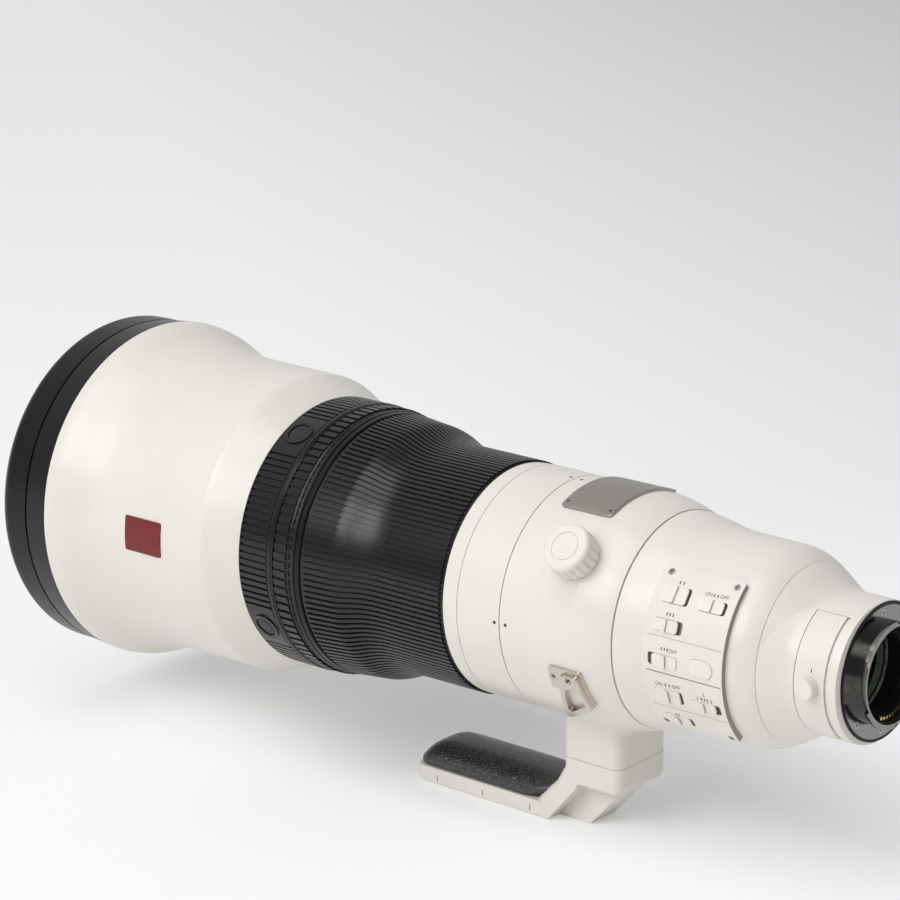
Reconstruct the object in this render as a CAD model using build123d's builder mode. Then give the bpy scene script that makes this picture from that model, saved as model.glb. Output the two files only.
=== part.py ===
from build123d import *
import os
from math import asin, copysign, cos, pi, radians, sin

# Super telephoto lens, in millimetres.
# The optical axis is X: the camera end is towards +X and the front element towards -X.
# +Z is up, and the switch panel looks towards -Y. The origin is the centre of the camera
# mount's flange face. Stations are X positions. Angles round the axis start at +Y and turn
# towards +Z, so 90 is the top, 180 is the panel side and 270 is the foot.

os.makedirs("parts", exist_ok=True)

# Gaps between pieces
run_gap = 0.3           # between a large ring and what it turns on
small_gap = 0.15        # round a button, a switch or the filter holder
stem_gap = 0.06         # round a shaft that turns or slides in its hole
screw_gap = 0.04        # round a screw's shank

# Lengths along the optical axis, from the camera end forwards
gasket_thickness = 1.6
mount_lip_length = 3.0
cover_slot = 1.5
cover_length = 14.9
cone_length = 14.5
rear_barrel_length = 66.8
collar_length = 57.6
seat_length = 23.3
trim_length = 8.4
focus_ring_length = 77.9
spacer_length = 2.8
function_ring_length = 12.0
button_ring_length = 20.3
front_barrel_length = 109.0
front_band_length = 14.9
front_ring_length = 20.5

# Outer radii, from the front to the camera end
front_r = 80.5
band_r = 81.8
neck_r = 71.7
waist_r = 71.0
shoulder_r = 63.0
button_ring_r = 63.1
function_ring_r = 62.5
spacer_r = 61.2
focus_front_r = 60.9
focus_waist_r = 53.4
seat_r = 52.3
trim_r = 52.7
collar_r = 52.3
collar_rear_r = 48.0
rear_front_r = 47.7
panel_r = 46.0
rear_r = 43.8
cone_r = 38.9
mount_r = 30.0
gasket_r = 29.4
cover_shift = 3.3
cover_r = mount_r + cover_shift

# Walls and inner radii
opening_r = 75.8
shell_wall = 2.2
spigot_wall = 2.1
lip_wall = 2.8
tube_wall = 2.6
grip_thickness = 2.4
core_wall = 1.7
collar_wall = 7.0
seat_wall = 4.0
rear_bore_r = 40.5
light_bore_r = 21.5
throat_r = 19.9
flange_bore_r = 20.7

# Ribs of the rubber rings
rib_height = 0.9
rib_share = 0.62
rib_root = 0.3
button_rib_count = 125
function_rib_count = 94
focus_rib_count = 135

# Stations of the seams, from the camera end forwards
x_lip = -gasket_thickness
x_slot = x_lip - mount_lip_length
x_cover_rear = x_slot - cover_slot
x_cover_front = x_cover_rear - cover_length
x_cone = x_cover_front - cone_length
x_collar_rear = x_cone - rear_barrel_length
x_collar_front = x_collar_rear - collar_length
x_trim = x_collar_front - seat_length
x_focus_rear = x_trim - trim_length
x_focus_front = x_focus_rear - focus_ring_length
x_spacer = x_focus_front - spacer_length
x_function = x_spacer - function_ring_length
x_black = x_function - button_ring_length
x_band = x_black - front_barrel_length
x_groove = x_band - front_band_length
x_front = x_groove - front_ring_length

# Radii that follow from the ones above
spigot_r = opening_r + spigot_wall
drum_r = shoulder_r - lip_wall
function_track_r = drum_r - 2.7
focus_track_r = focus_front_r - grip_thickness - 3.2 - run_gap
tube_r = focus_waist_r - grip_thickness - core_wall - run_gap
tube_bore_r = tube_r - tube_wall
track_r = collar_r - collar_wall - run_gap
seat_bore_r = track_r - seat_wall
joint_r = track_r - 2.0


def meridian(angle):
    """The half plane through the optical axis at an angle: stations along its x, radii up its y."""
    turned = radians(angle)
    return Plane(origin=(0, 0, 0), x_dir=(1, 0, 0), z_dir=(0, -sin(turned), cos(turned)))


def radial(station, angle, radius):
    """A plane that faces outwards from the optical axis, with +X along its x."""
    turned = radians(angle)
    foot = (station, radius * cos(turned), radius * sin(turned))
    return Plane(origin=foot, x_dir=(1, 0, 0), z_dir=(0, cos(turned), sin(turned)))


def axial(angle, radius, station):
    """A plane that faces the camera at a spot round the optical axis."""
    turned = radians(angle)
    foot = (station, radius * cos(turned), radius * sin(turned))
    return Plane(origin=foot, x_dir=(0, 1, 0), z_dir=(1, 0, 0))


def turn(points, start=0, sweep=360, mode=Mode.ADD):
    """Revolve an outline of (station, radius) corners round the optical axis."""
    with BuildSketch(meridian(start)) as section:
        with BuildLine():
            Polyline(*points, close=True)
        make_face()
    revolve(section.sketch, axis=Axis.X, revolution_arc=sweep, mode=mode)


def ring(front, rear, inner, outer, mode=Mode.ADD):
    """Turn a plain ring with a rectangular section."""
    turn([(front, inner), (rear, inner), (rear, outer), (front, outer)], mode=mode)


def curved_plate(front, rear, inner, outer, start, end, mode=Mode.ADD):
    """Lay a plate round the optical axis between two angles."""
    turn([(front, inner), (rear, inner), (rear, outer), (front, outer)], start, end - start, mode)


def radial_edges(part):
    """The straight edges at right angles to the optical axis, such as a curved plate's corners."""
    return [edge for edge in part.edges().filter_by(GeomType.LINE) if abs((edge % 0.5).X) < 0.01]


def spread(piece, count):
    """Copies of a piece at even angles round the optical axis."""
    return [piece.rotate(Axis.X, 360 / count * turn_number) for turn_number in range(count)]


def post(plane, radius, height, mode=Mode.ADD):
    """A round post or hole that stands on a plane."""
    with BuildSketch(plane) as foot_print:
        Circle(radius)
    extrude(foot_print.sketch, amount=height, mode=mode)


def block(plane, length, width, height, corner=0, mode=Mode.ADD):
    """A block that stands on a plane, with its upright corners rounded."""
    with BuildSketch(plane) as foot_print:
        if corner > 0:
            RectangleRounded(length, width, corner)
        else:
            Rectangle(length, width)
    extrude(foot_print.sketch, amount=height, mode=mode)


def screw(face, head_r, head_height, shank_r, length):
    """A cross-headed screw whose flat head lies under a face plane."""
    post(face.offset(-head_height), head_r, head_height)
    post(face.offset(-length), shank_r, length - head_height)
    block(face.offset(-0.6 * head_height), 1.3 * head_r, 0.35 * head_r, head_height, mode=Mode.SUBTRACT)
    block(face.offset(-0.6 * head_height), 0.35 * head_r, 1.3 * head_r, head_height, mode=Mode.SUBTRACT)


def screw_hole(face, head_r, head_height, shank_r, length):
    """The stepped hole of a screw, a little larger than the screw."""
    post(face.offset(-head_height), head_r + screw_gap, head_height + 2, mode=Mode.SUBTRACT)
    post(face.offset(-length - screw_gap), shank_r + screw_gap, length, mode=Mode.SUBTRACT)


def shank_hole(face, head_height, shank_r, length):
    """The plain hole that a screw's shank goes on into, in the piece behind."""
    screw_hole(face, shank_r, head_height, shank_r, length)


def dome(edge_x, radius, bulge):
    """A spherical line from a lens's edge to its middle, which lies a bulge further along the axis."""
    sphere = (radius**2 + bulge**2) / (2 * abs(bulge))
    side = copysign(1, bulge)
    middle = edge_x + bulge - side * sphere
    turned = asin(radius / sphere) / 2
    halfway = (middle + side * sphere * cos(turned), sphere * sin(turned))
    return ThreePointArc((edge_x, radius), halfway, (edge_x + bulge, 0))


def save(piece, name):
    """Label a finished piece and write it."""
    piece.part.label = name
    export_step(piece.part, f"parts/{name}.step")


# Front ring: the black rim that carries the hood, with a softly rounded nose
rim_width = 0.9
nose_length = 8.5
nose_r = 73.9
x_spigot = x_front + 8.0

with BuildPart() as front_ring:
    with BuildSketch(meridian(0)):
        with BuildLine():
            nose = Bezier(
                (x_front + nose_length, front_r),
                (x_front + 0.6 * nose_length, front_r),
                (x_front + 0.3 * nose_length, front_r - 3.2),
                (x_front, nose_r),
            )
            Polyline(
                nose @ 1,
                (x_front, nose_r - rim_width),
                (x_front + 2.0, nose_r - rim_width),
                (x_front + 4.0, opening_r),
                (x_spigot, opening_r),
                (x_spigot, spigot_r),
                (x_groove, spigot_r),
                (x_groove, front_r),
                nose @ 0,
            )
        make_face()
    revolve(axis=Axis.X)
save(front_ring, "front_ring")

# Front band: the second black ring, behind a fine groove
groove_width = 1.1
groove_depth = 1.1

with BuildPart() as front_band:
    turn([
        (x_groove, spigot_r),
        (x_groove, front_r - groove_depth),
        (x_groove + groove_width, front_r - groove_depth),
        (x_groove + groove_width, front_r),
        (x_band, band_r),
        (x_band, spigot_r),
    ])
save(front_band, "front_band")

# Red badge: a bare rounded tile let into the panel side of the barrel
badge_length = 23.0
badge_height = 16.5
badge_thickness = 0.7
badge_depth = 0.45
badge_corner = 1.2
badge_angle = 176.6
badge_centre = x_band + 55.7
badge_bottom_r = neck_r - badge_depth
badge_half_angle = badge_height / 2 / neck_r * 180 / pi

with BuildPart() as red_badge:
    curved_plate(
        badge_centre - badge_length / 2,
        badge_centre + badge_length / 2,
        badge_bottom_r,
        badge_bottom_r + badge_thickness,
        badge_angle - badge_half_angle,
        badge_angle + badge_half_angle,
    )
    fillet(radial_edges(red_badge), badge_corner)
save(red_badge, "red_badge")

# Front barrel: the white bell, flared at the front and stepped down to the black rings
flare_length = 44.0
shoulder_length = 17.0
barrel_lip_length = 7.4
flange_length = 3.0
crease_blend = 6.0
x_flare = x_band + flare_length
x_shoulder = x_black - shoulder_length
x_barrel_lip = x_black - barrel_lip_length

with BuildPart() as front_barrel:
    with BuildSketch(meridian(0)):
        with BuildLine():
            flare = Bezier(
                (x_band, band_r),
                (x_band + 0.31 * flare_length, band_r - 0.4),
                (x_band + 0.32 * flare_length, neck_r + 1.7),
                (x_flare, neck_r),
            )
            inner_flare = Bezier(
                (x_band + flange_length, band_r - shell_wall),
                (x_band + 0.31 * flare_length, band_r - shell_wall - 0.6),
                (x_band + 0.32 * flare_length, neck_r - shell_wall + 1.6),
                (x_flare, neck_r - shell_wall),
            )
            Polyline(
                flare @ 1,
                (x_shoulder, waist_r),
                (x_black, shoulder_r),
                (x_black, drum_r),
                (x_barrel_lip, drum_r),
                (x_barrel_lip, shoulder_r + 0.6),
                (x_shoulder, waist_r - shell_wall),
                inner_flare @ 1,
            )
            Polyline(
                inner_flare @ 0,
                (x_band + flange_length, opening_r),
                (x_spigot, opening_r),
                (x_spigot, spigot_r),
                (x_band, spigot_r),
                flare @ 0,
            )
        make_face()
    revolve(axis=Axis.X)
    crease = [edge for edge in front_barrel.edges().filter_by(GeomType.CIRCLE)
              if abs(edge.center().X - x_shoulder) < 0.1 and edge.radius > waist_r - 0.1]
    fillet(crease, crease_blend)
    add(red_badge.part, mode=Mode.SUBTRACT)
save(front_barrel, "front_barrel")

# Front element and the cell and threaded ring that hold it
glass_r = 74.2
glass_edge = 6.6
glass_edge_x = x_band - 5.0
front_bulge = 10.6
cell_lip = 3.0
cell_length = 22.0
x_cell = x_band + 1.6
retainer_length = 3.6
retainer_width = 4.2

with BuildPart() as front_element:
    with BuildSketch(meridian(0)):
        with BuildLine():
            front_face = dome(glass_edge_x - glass_edge, glass_r, -front_bulge)
            Polyline(front_face @ 1, (glass_edge_x, 0), (glass_edge_x, glass_r), front_face @ 0)
        make_face()
    revolve(axis=Axis.X)
save(front_element, "front_element")

with BuildPart() as front_cell:
    turn([
        (x_cell, glass_r - cell_lip),
        (glass_edge_x, glass_r - cell_lip),
        (glass_edge_x, glass_r),
        (x_cell - cell_length, glass_r),
        (x_cell - cell_length, opening_r),
        (x_cell, opening_r),
    ])
save(front_cell, "front_cell")

with BuildPart() as retaining_ring:
    ring_rear = glass_edge_x - glass_edge
    turn([
        (ring_rear, glass_r - 0.3),
        (ring_rear, glass_r),
        (ring_rear - retainer_length, glass_r),
        (ring_rear - retainer_length, glass_r - 0.4 * retainer_width),
    ])
save(retaining_ring, "retaining_ring")


# Main tube: the inner aluminium tube that carries every ring, with an inner flange
tube_flange_length = 3.0
tube_flange_height = 3.3
x_tube_flange = x_barrel_lip - tube_flange_length
track_step = 0.3
focus_track_length = 11.5
x_tube_neck = x_focus_front + focus_track_length + 3.0
seat_depth = 13.6
x_tube_rear = x_focus_rear + seat_depth
carrier_x = x_focus_rear - 49.4
carrier_thickness = 3.0
carrier_r = 39.0
rod_circle_r = tube_bore_r - 3.2
rod_r = 1.4

button_station = x_black + 8.8
button_angles = [28.7, 118.7, 208.7, 298.7]
button_r = 5.2
button_travel = 0.8
button_floor_r = drum_r - 0.7

with BuildPart() as main_tube:
    turn([
        (x_tube_flange, drum_r - tube_wall),
        (x_tube_flange, drum_r + tube_flange_height),
        (x_barrel_lip, drum_r + tube_flange_height),
        (x_barrel_lip, drum_r),
        (x_function - track_step, drum_r),
        (x_function - track_step, function_track_r),
        (x_focus_front, function_track_r),
        (x_focus_front, focus_track_r),
        (x_focus_front + focus_track_length, focus_track_r),
        (x_tube_neck, tube_r),
        (x_tube_rear, tube_r),
        (x_tube_rear, tube_bore_r),
        (x_tube_neck - 1.5, tube_bore_r),
        (x_focus_front + focus_track_length - 1.5, focus_track_r - tube_wall),
        (x_focus_front - tube_wall, focus_track_r - tube_wall),
        (x_focus_front - tube_wall, function_track_r - tube_wall),
        (x_function - track_step - tube_wall, function_track_r - tube_wall),
        (x_function - track_step - tube_wall, drum_r - tube_wall),
    ])
    ring(carrier_x, carrier_x + carrier_thickness, carrier_r, tube_bore_r)
    for rod_angle in (0, 180):
        rod_y = rod_circle_r * cos(radians(rod_angle))
        with BuildSketch(Plane.YZ.offset(carrier_x)) as rod_hole:
            with Locations((rod_y, 0)):
                Circle(rod_r + screw_gap)
        extrude(rod_hole.sketch, amount=carrier_thickness, mode=Mode.SUBTRACT)
    for angle in button_angles:
        pocket = radial(button_station, angle, button_floor_r)
        post(pocket, button_r + small_gap, drum_r, mode=Mode.SUBTRACT)
save(main_tube, "main_tube")

# Second and third lens elements, seated in the main tube
second_thickness = 9.0
second_x = x_tube_flange + 2.0
third_thickness = 5.0

with BuildPart() as second_element:
    with BuildSketch(meridian(0)):
        with BuildLine():
            front_face = dome(second_x, drum_r - tube_wall, -4.8)
            rear_face = dome(second_x + second_thickness, drum_r - tube_wall, 2.0)
            Line(front_face @ 0, rear_face @ 0)
            Line(front_face @ 1, rear_face @ 1)
        make_face()
    revolve(axis=Axis.X)
save(second_element, "second_element")

with BuildPart() as third_element:
    with BuildSketch(meridian(0)):
        with BuildLine():
            front_face = dome(carrier_x - third_thickness, tube_bore_r, 2.5)
            Polyline(front_face @ 1, (carrier_x, 0), (carrier_x, tube_bore_r), front_face @ 0)
        make_face()
    revolve(axis=Axis.X)
save(third_element, "third_element")

# Button ring: black ribs, with four smooth pads for the focus hold buttons
bead_length = 3.0
lip_length = 0.7
pad_half_angle = 10.4
rim_r = 6.9
rim_height = 0.5
x_button_end = x_function - run_gap
x_bead = x_button_end - bead_length
button_rib_floor = button_ring_r - rib_height

rib_front = x_black + lip_length
rib_length = x_bead - rib_front
rib_width = 2 * pi * button_ring_r / button_rib_count * rib_share

with BuildPart() as button_rib:
    rib_plane = radial(rib_front + rib_length / 2, 0, button_rib_floor - rib_root)
    block(rib_plane, rib_length, rib_width, rib_height + rib_root)

with BuildPart() as button_pad:
    pad_bottom = button_rib_floor - rib_root
    curved_plate(rib_front, x_bead, pad_bottom, button_ring_r, -pad_half_angle, pad_half_angle)

with BuildPart() as button_ring:
    turn([
        (x_black, drum_r),
        (x_black, button_ring_r - 0.5),
        (x_black + 0.3 * lip_length, button_ring_r),
        (rib_front, button_ring_r),
        (rib_front, button_rib_floor),
        (x_bead, button_rib_floor),
        (x_bead, button_ring_r - 0.3),
        (x_bead + 0.2 * bead_length, button_ring_r),
        (x_bead + 0.65 * bead_length, button_ring_r),
        (x_button_end, button_ring_r - 1.0),
        (x_button_end, drum_r),
    ])
    add(spread(button_rib.part, button_rib_count))
    add([button_pad.part.rotate(Axis.X, angle) for angle in button_angles])
    for angle in button_angles:
        post(radial(button_station, angle, drum_r + 1.0), rim_r, button_ring_r + rim_height - drum_r - 1.0)
        hole = radial(button_station, angle, drum_r - 1.0)
        post(hole, button_r + small_gap, button_ring_r, mode=Mode.SUBTRACT)
save(button_ring, "button_ring")

# Four focus hold buttons, slightly domed, that push in towards the axis
button_foot_r = button_floor_r + button_travel + 0.3
button_top_r = button_ring_r + 0.35
button_rise = 0.4

for number, angle in enumerate(button_angles, start=1):
    with BuildPart() as focus_hold_button:
        post(radial(button_station, angle, button_foot_r), button_r, button_top_r - button_foot_r)
        top_edge = focus_hold_button.faces().sort_by_distance((button_station, 0, 0))[-1].edges()
        chamfer(top_edge, button_rise, 2.2)
    save(focus_hold_button, f"focus_hold_button_{number}")

# Function ring: a narrow sprung ring with short thick ribs
function_floor = function_ring_r - rib_height
function_rib_front = x_function + 0.6
function_rib_rear = x_function + 7.9
x_function_rear = x_spacer - run_gap

function_rib_length = function_rib_rear - function_rib_front
function_rib_width = 2 * pi * function_ring_r / function_rib_count * rib_share

with BuildPart() as function_rib:
    rib_plane = radial(function_rib_front + function_rib_length / 2, 0, function_floor - rib_root)
    block(rib_plane, function_rib_length, function_rib_width, rib_height + rib_root)

with BuildPart() as function_ring:
    turn([
        (x_function, function_track_r + run_gap),
        (x_function, function_floor - 0.3),
        (x_function + 0.4, function_floor),
        (function_rib_rear, function_floor),
        (function_rib_rear + 0.8, function_floor - 0.4),
        (x_function_rear - 1.3, function_floor + 0.1),
        (x_function_rear - 0.5, function_floor),
        (x_function_rear, function_floor - 0.6),
        (x_function_rear, function_track_r + run_gap),
    ])
    add(spread(function_rib.part, function_rib_count))
save(function_ring, "function_ring")

# Spacer ring: the fine fixed ring between the two turning rings
with BuildPart() as spacer_ring:
    turn([
        (x_spacer, function_track_r),
        (x_spacer, spacer_r - 0.5),
        (x_spacer + 0.5, spacer_r),
        (x_focus_front - 0.5, spacer_r - 0.1),
        (x_focus_front, spacer_r - 0.6),
        (x_focus_front, function_track_r),
    ])
save(spacer_ring, "spacer_ring")

# Focus ring: an aluminium core under a ribbed rubber grip
x_grip = x_focus_front + run_gap
x_grip_rear = x_focus_rear - run_gap
grip_lip = 1.5
hump_length = 17.2
fall_length = 24.0
hump_drop = 1.5
x_hump = x_grip + hump_length
x_waist = x_hump + fall_length


def grip_line(depth, front, rear):
    """The long curve of the focus ring at a depth under its crests, from front to rear."""
    hump_r = focus_front_r - hump_drop - depth
    waist = focus_waist_r - depth
    slope = Line((front, focus_front_r - depth), (x_hump, hump_r))
    Bezier(
        (x_hump, hump_r),
        (x_hump + 0.29 * fall_length, hump_r - 0.8),
        (x_hump + 0.375 * fall_length, waist + 0.3),
        (x_waist, waist),
    )
    tail = Line((x_waist, waist), (rear, waist - 0.2))
    return slope @ 0, tail @ 1


with BuildPart() as focus_ring_core:
    with BuildSketch(meridian(0)):
        with BuildLine():
            head, tail_end = grip_line(grip_thickness, x_grip, x_grip_rear)
            bearing_r = tube_r + run_gap
            Polyline(
                tail_end,
                (x_grip_rear, bearing_r),
                (x_waist - 8.0, bearing_r),
                (x_grip + focus_track_length + 0.4, focus_track_r + run_gap),
                (x_grip, focus_track_r + run_gap),
                head,
            )
        make_face()
    revolve(axis=Axis.X)
save(focus_ring_core, "focus_ring_core")

with BuildPart() as focus_rib:
    with BuildSketch(meridian(0)):
        with BuildLine():
            head, tail_end = grip_line(0, x_grip + grip_lip, x_grip_rear - grip_lip)
            depth = rib_height + rib_root
            foot_head, foot_tail = grip_line(depth, x_grip + grip_lip, x_grip_rear - grip_lip)
            Line(head, foot_head)
            Line(tail_end, foot_tail)
        make_face()
    extrude(amount=pi * focus_waist_r / focus_rib_count * rib_share, both=True)

with BuildPart() as focus_grip:
    with BuildSketch(meridian(0)):
        with BuildLine():
            head, tail_end = grip_line(rib_height, x_grip, x_grip_rear)
            foot_head, foot_tail = grip_line(grip_thickness, x_grip, x_grip_rear)
            Line(head, foot_head)
            Line(tail_end, foot_tail)
        make_face()
    revolve(axis=Axis.X)
    add(spread(focus_rib.part, focus_rib_count))
save(focus_grip, "focus_grip")

# Collar seat: the white ring behind the focus ring, with the track that the tripod collar turns on
spigot_length = 8.3
seam_width = 0.5
x_spigot_rear = x_collar_rear + spigot_length

with BuildPart() as collar_seat:
    turn([
        (x_focus_rear, tube_r),
        (x_focus_rear, seat_r),
        (x_trim - seam_width, trim_r),
        (x_trim - seam_width, trim_r - seam_width),
        (x_trim, trim_r - seam_width),
        (x_trim, trim_r),
        (x_collar_front - run_gap, seat_r),
        (x_collar_front - run_gap, track_r),
        (x_collar_rear, track_r),
        (x_collar_rear, joint_r),
        (x_spigot_rear, joint_r),
        (x_spigot_rear, seat_bore_r),
        (x_tube_rear, seat_bore_r),
        (x_tube_rear, tube_r),
    ])
save(collar_seat, "collar_seat")

# Tripod collar: a ring with a neck for the foot and a boss for the lock knob
collar_taper_length = 18.4
collar_seam = 0.65
x_collar_end = x_collar_rear - collar_seam
x_taper = x_collar_end - collar_taper_length
collar_bore_r = track_r + run_gap
neck_x = x_collar_front + 21.5
neck_length = 31.7
neck_half_width = 17.5
neck_corner = 4.5
neck_bottom = -69.3
neck_blend = 5.0

knob_x = x_collar_rear - 24.1
knob_angle = 140.2
knob_r = 11.0
knob_bottom = 53.35
knob_height = 10.15
knob_stem_r = 2.4
knob_stem_end = 50.2
boss_r = 10.0
boss_top = knob_bottom - small_gap

foot_screw_spots = [(x, y) for x in (neck_x - 3.1, neck_x + 8.9) for y in (-13.2, 13.2)]
foot_screw_r = 1.5
foot_screw_head_r = 2.8
foot_screw_head = 2.5
foot_screw_length = 21.0
block_bottom = -82.0

plate_front = x_collar_front + 10.4
plate_rear = plate_front + 27.5
plate_thickness = 1.3
plate_corner = 1.8
plate_bevel = 0.4
plate_start = 64.0
plate_end = 116.0
small_head_r = 1.5
small_head = 0.9
small_shank_r = 0.8
small_length = 4.6
plate_face_r = collar_r + plate_thickness
plate_screws = [
    (x, angle, plate_face_r) for x in (plate_front + 2.3, plate_rear - 2.3) for angle in (67.4, 112.6)
]

lug_x = x_collar_front + 26.0
lug_angle = 210.0
lug_rail_height = 3.0
lug_screws = [(lug_x + 2.4, 199.2, plate_face_r), (lug_x + 11.8, 198.4, plate_face_r + 1.0)]
far_lug_screws = [(x, 540 - angle, face_r) for x, angle, face_r in lug_screws]
small_screws = plate_screws + lug_screws + far_lug_screws

with BuildPart() as tripod_collar:
    with BuildSketch(Plane.XY.offset(neck_bottom)) as neck_outline:
        with Locations((neck_x, 0)):
            RectangleRounded(neck_length, 2 * neck_half_width, neck_corner)
    extrude(neck_outline.sketch, amount=abs(neck_bottom) - track_r)
    with BuildSketch(meridian(90)):
        with BuildLine():
            taper = Bezier(
                (x_taper, collar_r),
                (x_taper + 0.5 * collar_taper_length, collar_r - 0.7),
                (x_collar_end - 0.12 * collar_taper_length, collar_rear_r + 1.3),
                (x_collar_end, collar_rear_r),
            )
            Polyline(
                taper @ 1,
                (x_collar_end, collar_bore_r - 3),
                (x_collar_front, collar_bore_r - 3),
                (x_collar_front, collar_r - 0.3),
                (x_collar_front + 0.3, collar_r),
                taper @ 0,
            )
        make_face()
    revolve(axis=Axis.X)
    joint_edges = [edge for edge in tripod_collar.edges()
                   if edge.center().Z < -0.8 * collar_r
                   and edge.center().Z > neck_bottom + 2
                   and abs(edge.center().X - neck_x) < neck_length / 2 + 1
                   and abs(((edge % 0.5).Z)) < 0.99
                   and edge.center().X > x_collar_front + 1
                   and edge.center().X < x_collar_end - 1]
    fillet(joint_edges, neck_blend)
    post(radial(knob_x, knob_angle, collar_bore_r + 1), boss_r, boss_top - collar_bore_r - 1)
    with BuildSketch(Plane.YZ.offset(x_collar_front - 5)) as bore:
        Circle(collar_bore_r)
    extrude(bore.sketch, amount=collar_length + 10, mode=Mode.SUBTRACT)
    stem_floor = radial(knob_x, knob_angle, knob_stem_end - small_gap)
    post(stem_floor, knob_stem_r + stem_gap, collar_r, mode=Mode.SUBTRACT)
    for x, y in foot_screw_spots:
        head_face = Plane(origin=(x, y, block_bottom), x_dir=(1, 0, 0), z_dir=(0, 0, -1))
        shank_hole(head_face, foot_screw_head, foot_screw_r, foot_screw_length)
    for x, angle, face_r in small_screws:
        shank_hole(radial(x, angle, face_r), small_head, small_shank_r, small_length)
save(tripod_collar, "tripod_collar")

# Name plate: a bare gunmetal plate on top of the collar
with BuildPart() as name_plate:
    curved_plate(plate_front, plate_rear, collar_r, collar_r + plate_thickness, plate_start, plate_end)
    fillet(radial_edges(name_plate), plate_corner)
    outline = name_plate.faces().sort_by_distance((neck_x, 0, 4 * collar_r))[0].edges()
    chamfer(outline, plate_bevel)
    for x, angle, face_r in plate_screws:
        face = radial(x, angle, face_r)
        screw_hole(face, small_head_r, small_head, small_shank_r, small_length)
save(name_plate, "name_plate")

# Strap lugs: a bracket on each side, a plate with an ear and a raised frame for the strap
ear_width = 4.8
ear_height = 11.0
strap_thickness = 1.5


def over_collar(height):
    """A shell that lies on the collar's outside and rises a height above its radius."""
    with BuildPart() as shell:
        with BuildSketch(meridian(0)):
            with BuildLine():
                slope = Bezier(
                    (x_taper, collar_r),
                    (x_taper + 0.5 * collar_taper_length, collar_r - 0.7),
                    (x_collar_end - 0.12 * collar_taper_length, collar_rear_r + 1.3),
                    (x_collar_end, collar_rear_r),
                )
                Polyline(
                    slope @ 1,
                    (x_collar_end, collar_r + height),
                    (x_collar_front, collar_r + height),
                    (x_collar_front, collar_r),
                    slope @ 0,
                )
            make_face()
        revolve(axis=Axis.X)
    return shell.part


with BuildPart() as lug_plate:
    with BuildSketch(radial(lug_x, lug_angle, 0.7 * collar_r)) as lug_outline:
        with BuildLine():
            Polyline(
                (0, 14.6),
                (17.5, 14.6),
                (19.9, -3.4),
                (0.5, -16.3),
                (ear_width, 14.6 - ear_height),
                (0, 14.6 - ear_height),
                close=True,
            )
        make_face()
        fillet(lug_outline.vertices().group_by(Axis.Y)[-1], 1.8)
    extrude(lug_outline.sketch, amount=collar_r)
    add(over_collar(plate_thickness), mode=Mode.INTERSECT)

with BuildPart() as lug_frame:
    with BuildSketch(radial(lug_x, lug_angle, 0.7 * collar_r)) as frame_outline:
        with BuildLine():
            Polyline(
                (7.4, 12.8),
                (16.3, 13.2),
                (19.9, -3.4),
                (0.5, -16.3),
                close=True,
            )
        make_face()
        fillet(frame_outline.vertices(), 1.4)
    extrude(frame_outline.sketch, amount=collar_r)
    add(over_collar(lug_rail_height), mode=Mode.INTERSECT)

with BuildPart() as strap_way:
    with BuildSketch(radial(lug_x, lug_angle, 0.7 * collar_r)) as way_outline:
        with BuildLine():
            Polyline(
                (4.2, -10.0),
                (17.0, -1.3),
                (20.6, -7.3),
                (7.8, -16.0),
                close=True,
            )
        make_face()
    extrude(way_outline.sketch, amount=collar_r)
    add(over_collar(strap_thickness), mode=Mode.INTERSECT)

with BuildPart() as strap_lug:
    add(lug_plate.part)
    add(lug_frame.part)
    with BuildSketch(radial(lug_x, lug_angle, 0.7 * collar_r)) as lug_window:
        with BuildLine():
            Polyline(
                (8.2, 5.6),
                (14.9, 7.8),
                (17.0, -1.9),
                (4.2, -10.6),
                close=True,
            )
        make_face()
        fillet(lug_window.vertices(), 1.2)
    extrude(lug_window.sketch, amount=collar_r, mode=Mode.SUBTRACT)
    add(strap_way.part, mode=Mode.SUBTRACT)
    for x, angle, face_r in lug_screws:
        screw_hole(radial(x, angle, face_r), small_head_r, small_head, small_shank_r, small_length)

with BuildPart() as strap_lugs:
    add(strap_lug.part)
    add(mirror(strap_lug.part, about=Plane.XZ))
save(strap_lugs, "strap_lugs")

# The small screws of the name plate and the strap lugs
with BuildPart() as collar_screws:
    for x, angle, face_r in small_screws:
        screw(radial(x, angle, face_r), small_head_r, small_head, small_shank_r, small_length)
save(collar_screws, "collar_screws")

# Lock knob: a fluted knob whose stem sits in the collar's boss
flute_count = 20
flute_r = 1.35
knob_corner = 2.2
inset_r = 6.65
inset_depth = 0.35

with BuildPart() as lock_knob:
    base = radial(knob_x, knob_angle, knob_bottom)
    post(base, knob_r, knob_height)
    crown = lock_knob.faces().sort_by_distance((knob_x, 0, 0))[-1].edges()
    fillet(crown, knob_corner)
    with BuildSketch(base) as flutes:
        with PolarLocations(knob_r + 0.45 * flute_r, flute_count):
            Circle(flute_r)
    extrude(flutes.sketch, amount=knob_height - knob_corner, mode=Mode.SUBTRACT)
    with BuildSketch(base.offset(knob_height - inset_depth)) as inset:
        Circle(inset_r)
        Circle(inset_r - 0.5, mode=Mode.SUBTRACT)
    extrude(inset.sketch, amount=knob_height, mode=Mode.SUBTRACT)
    post(radial(knob_x, knob_angle, knob_stem_end), knob_stem_r, knob_bottom - knob_stem_end)
save(lock_knob, "lock_knob")

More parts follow.
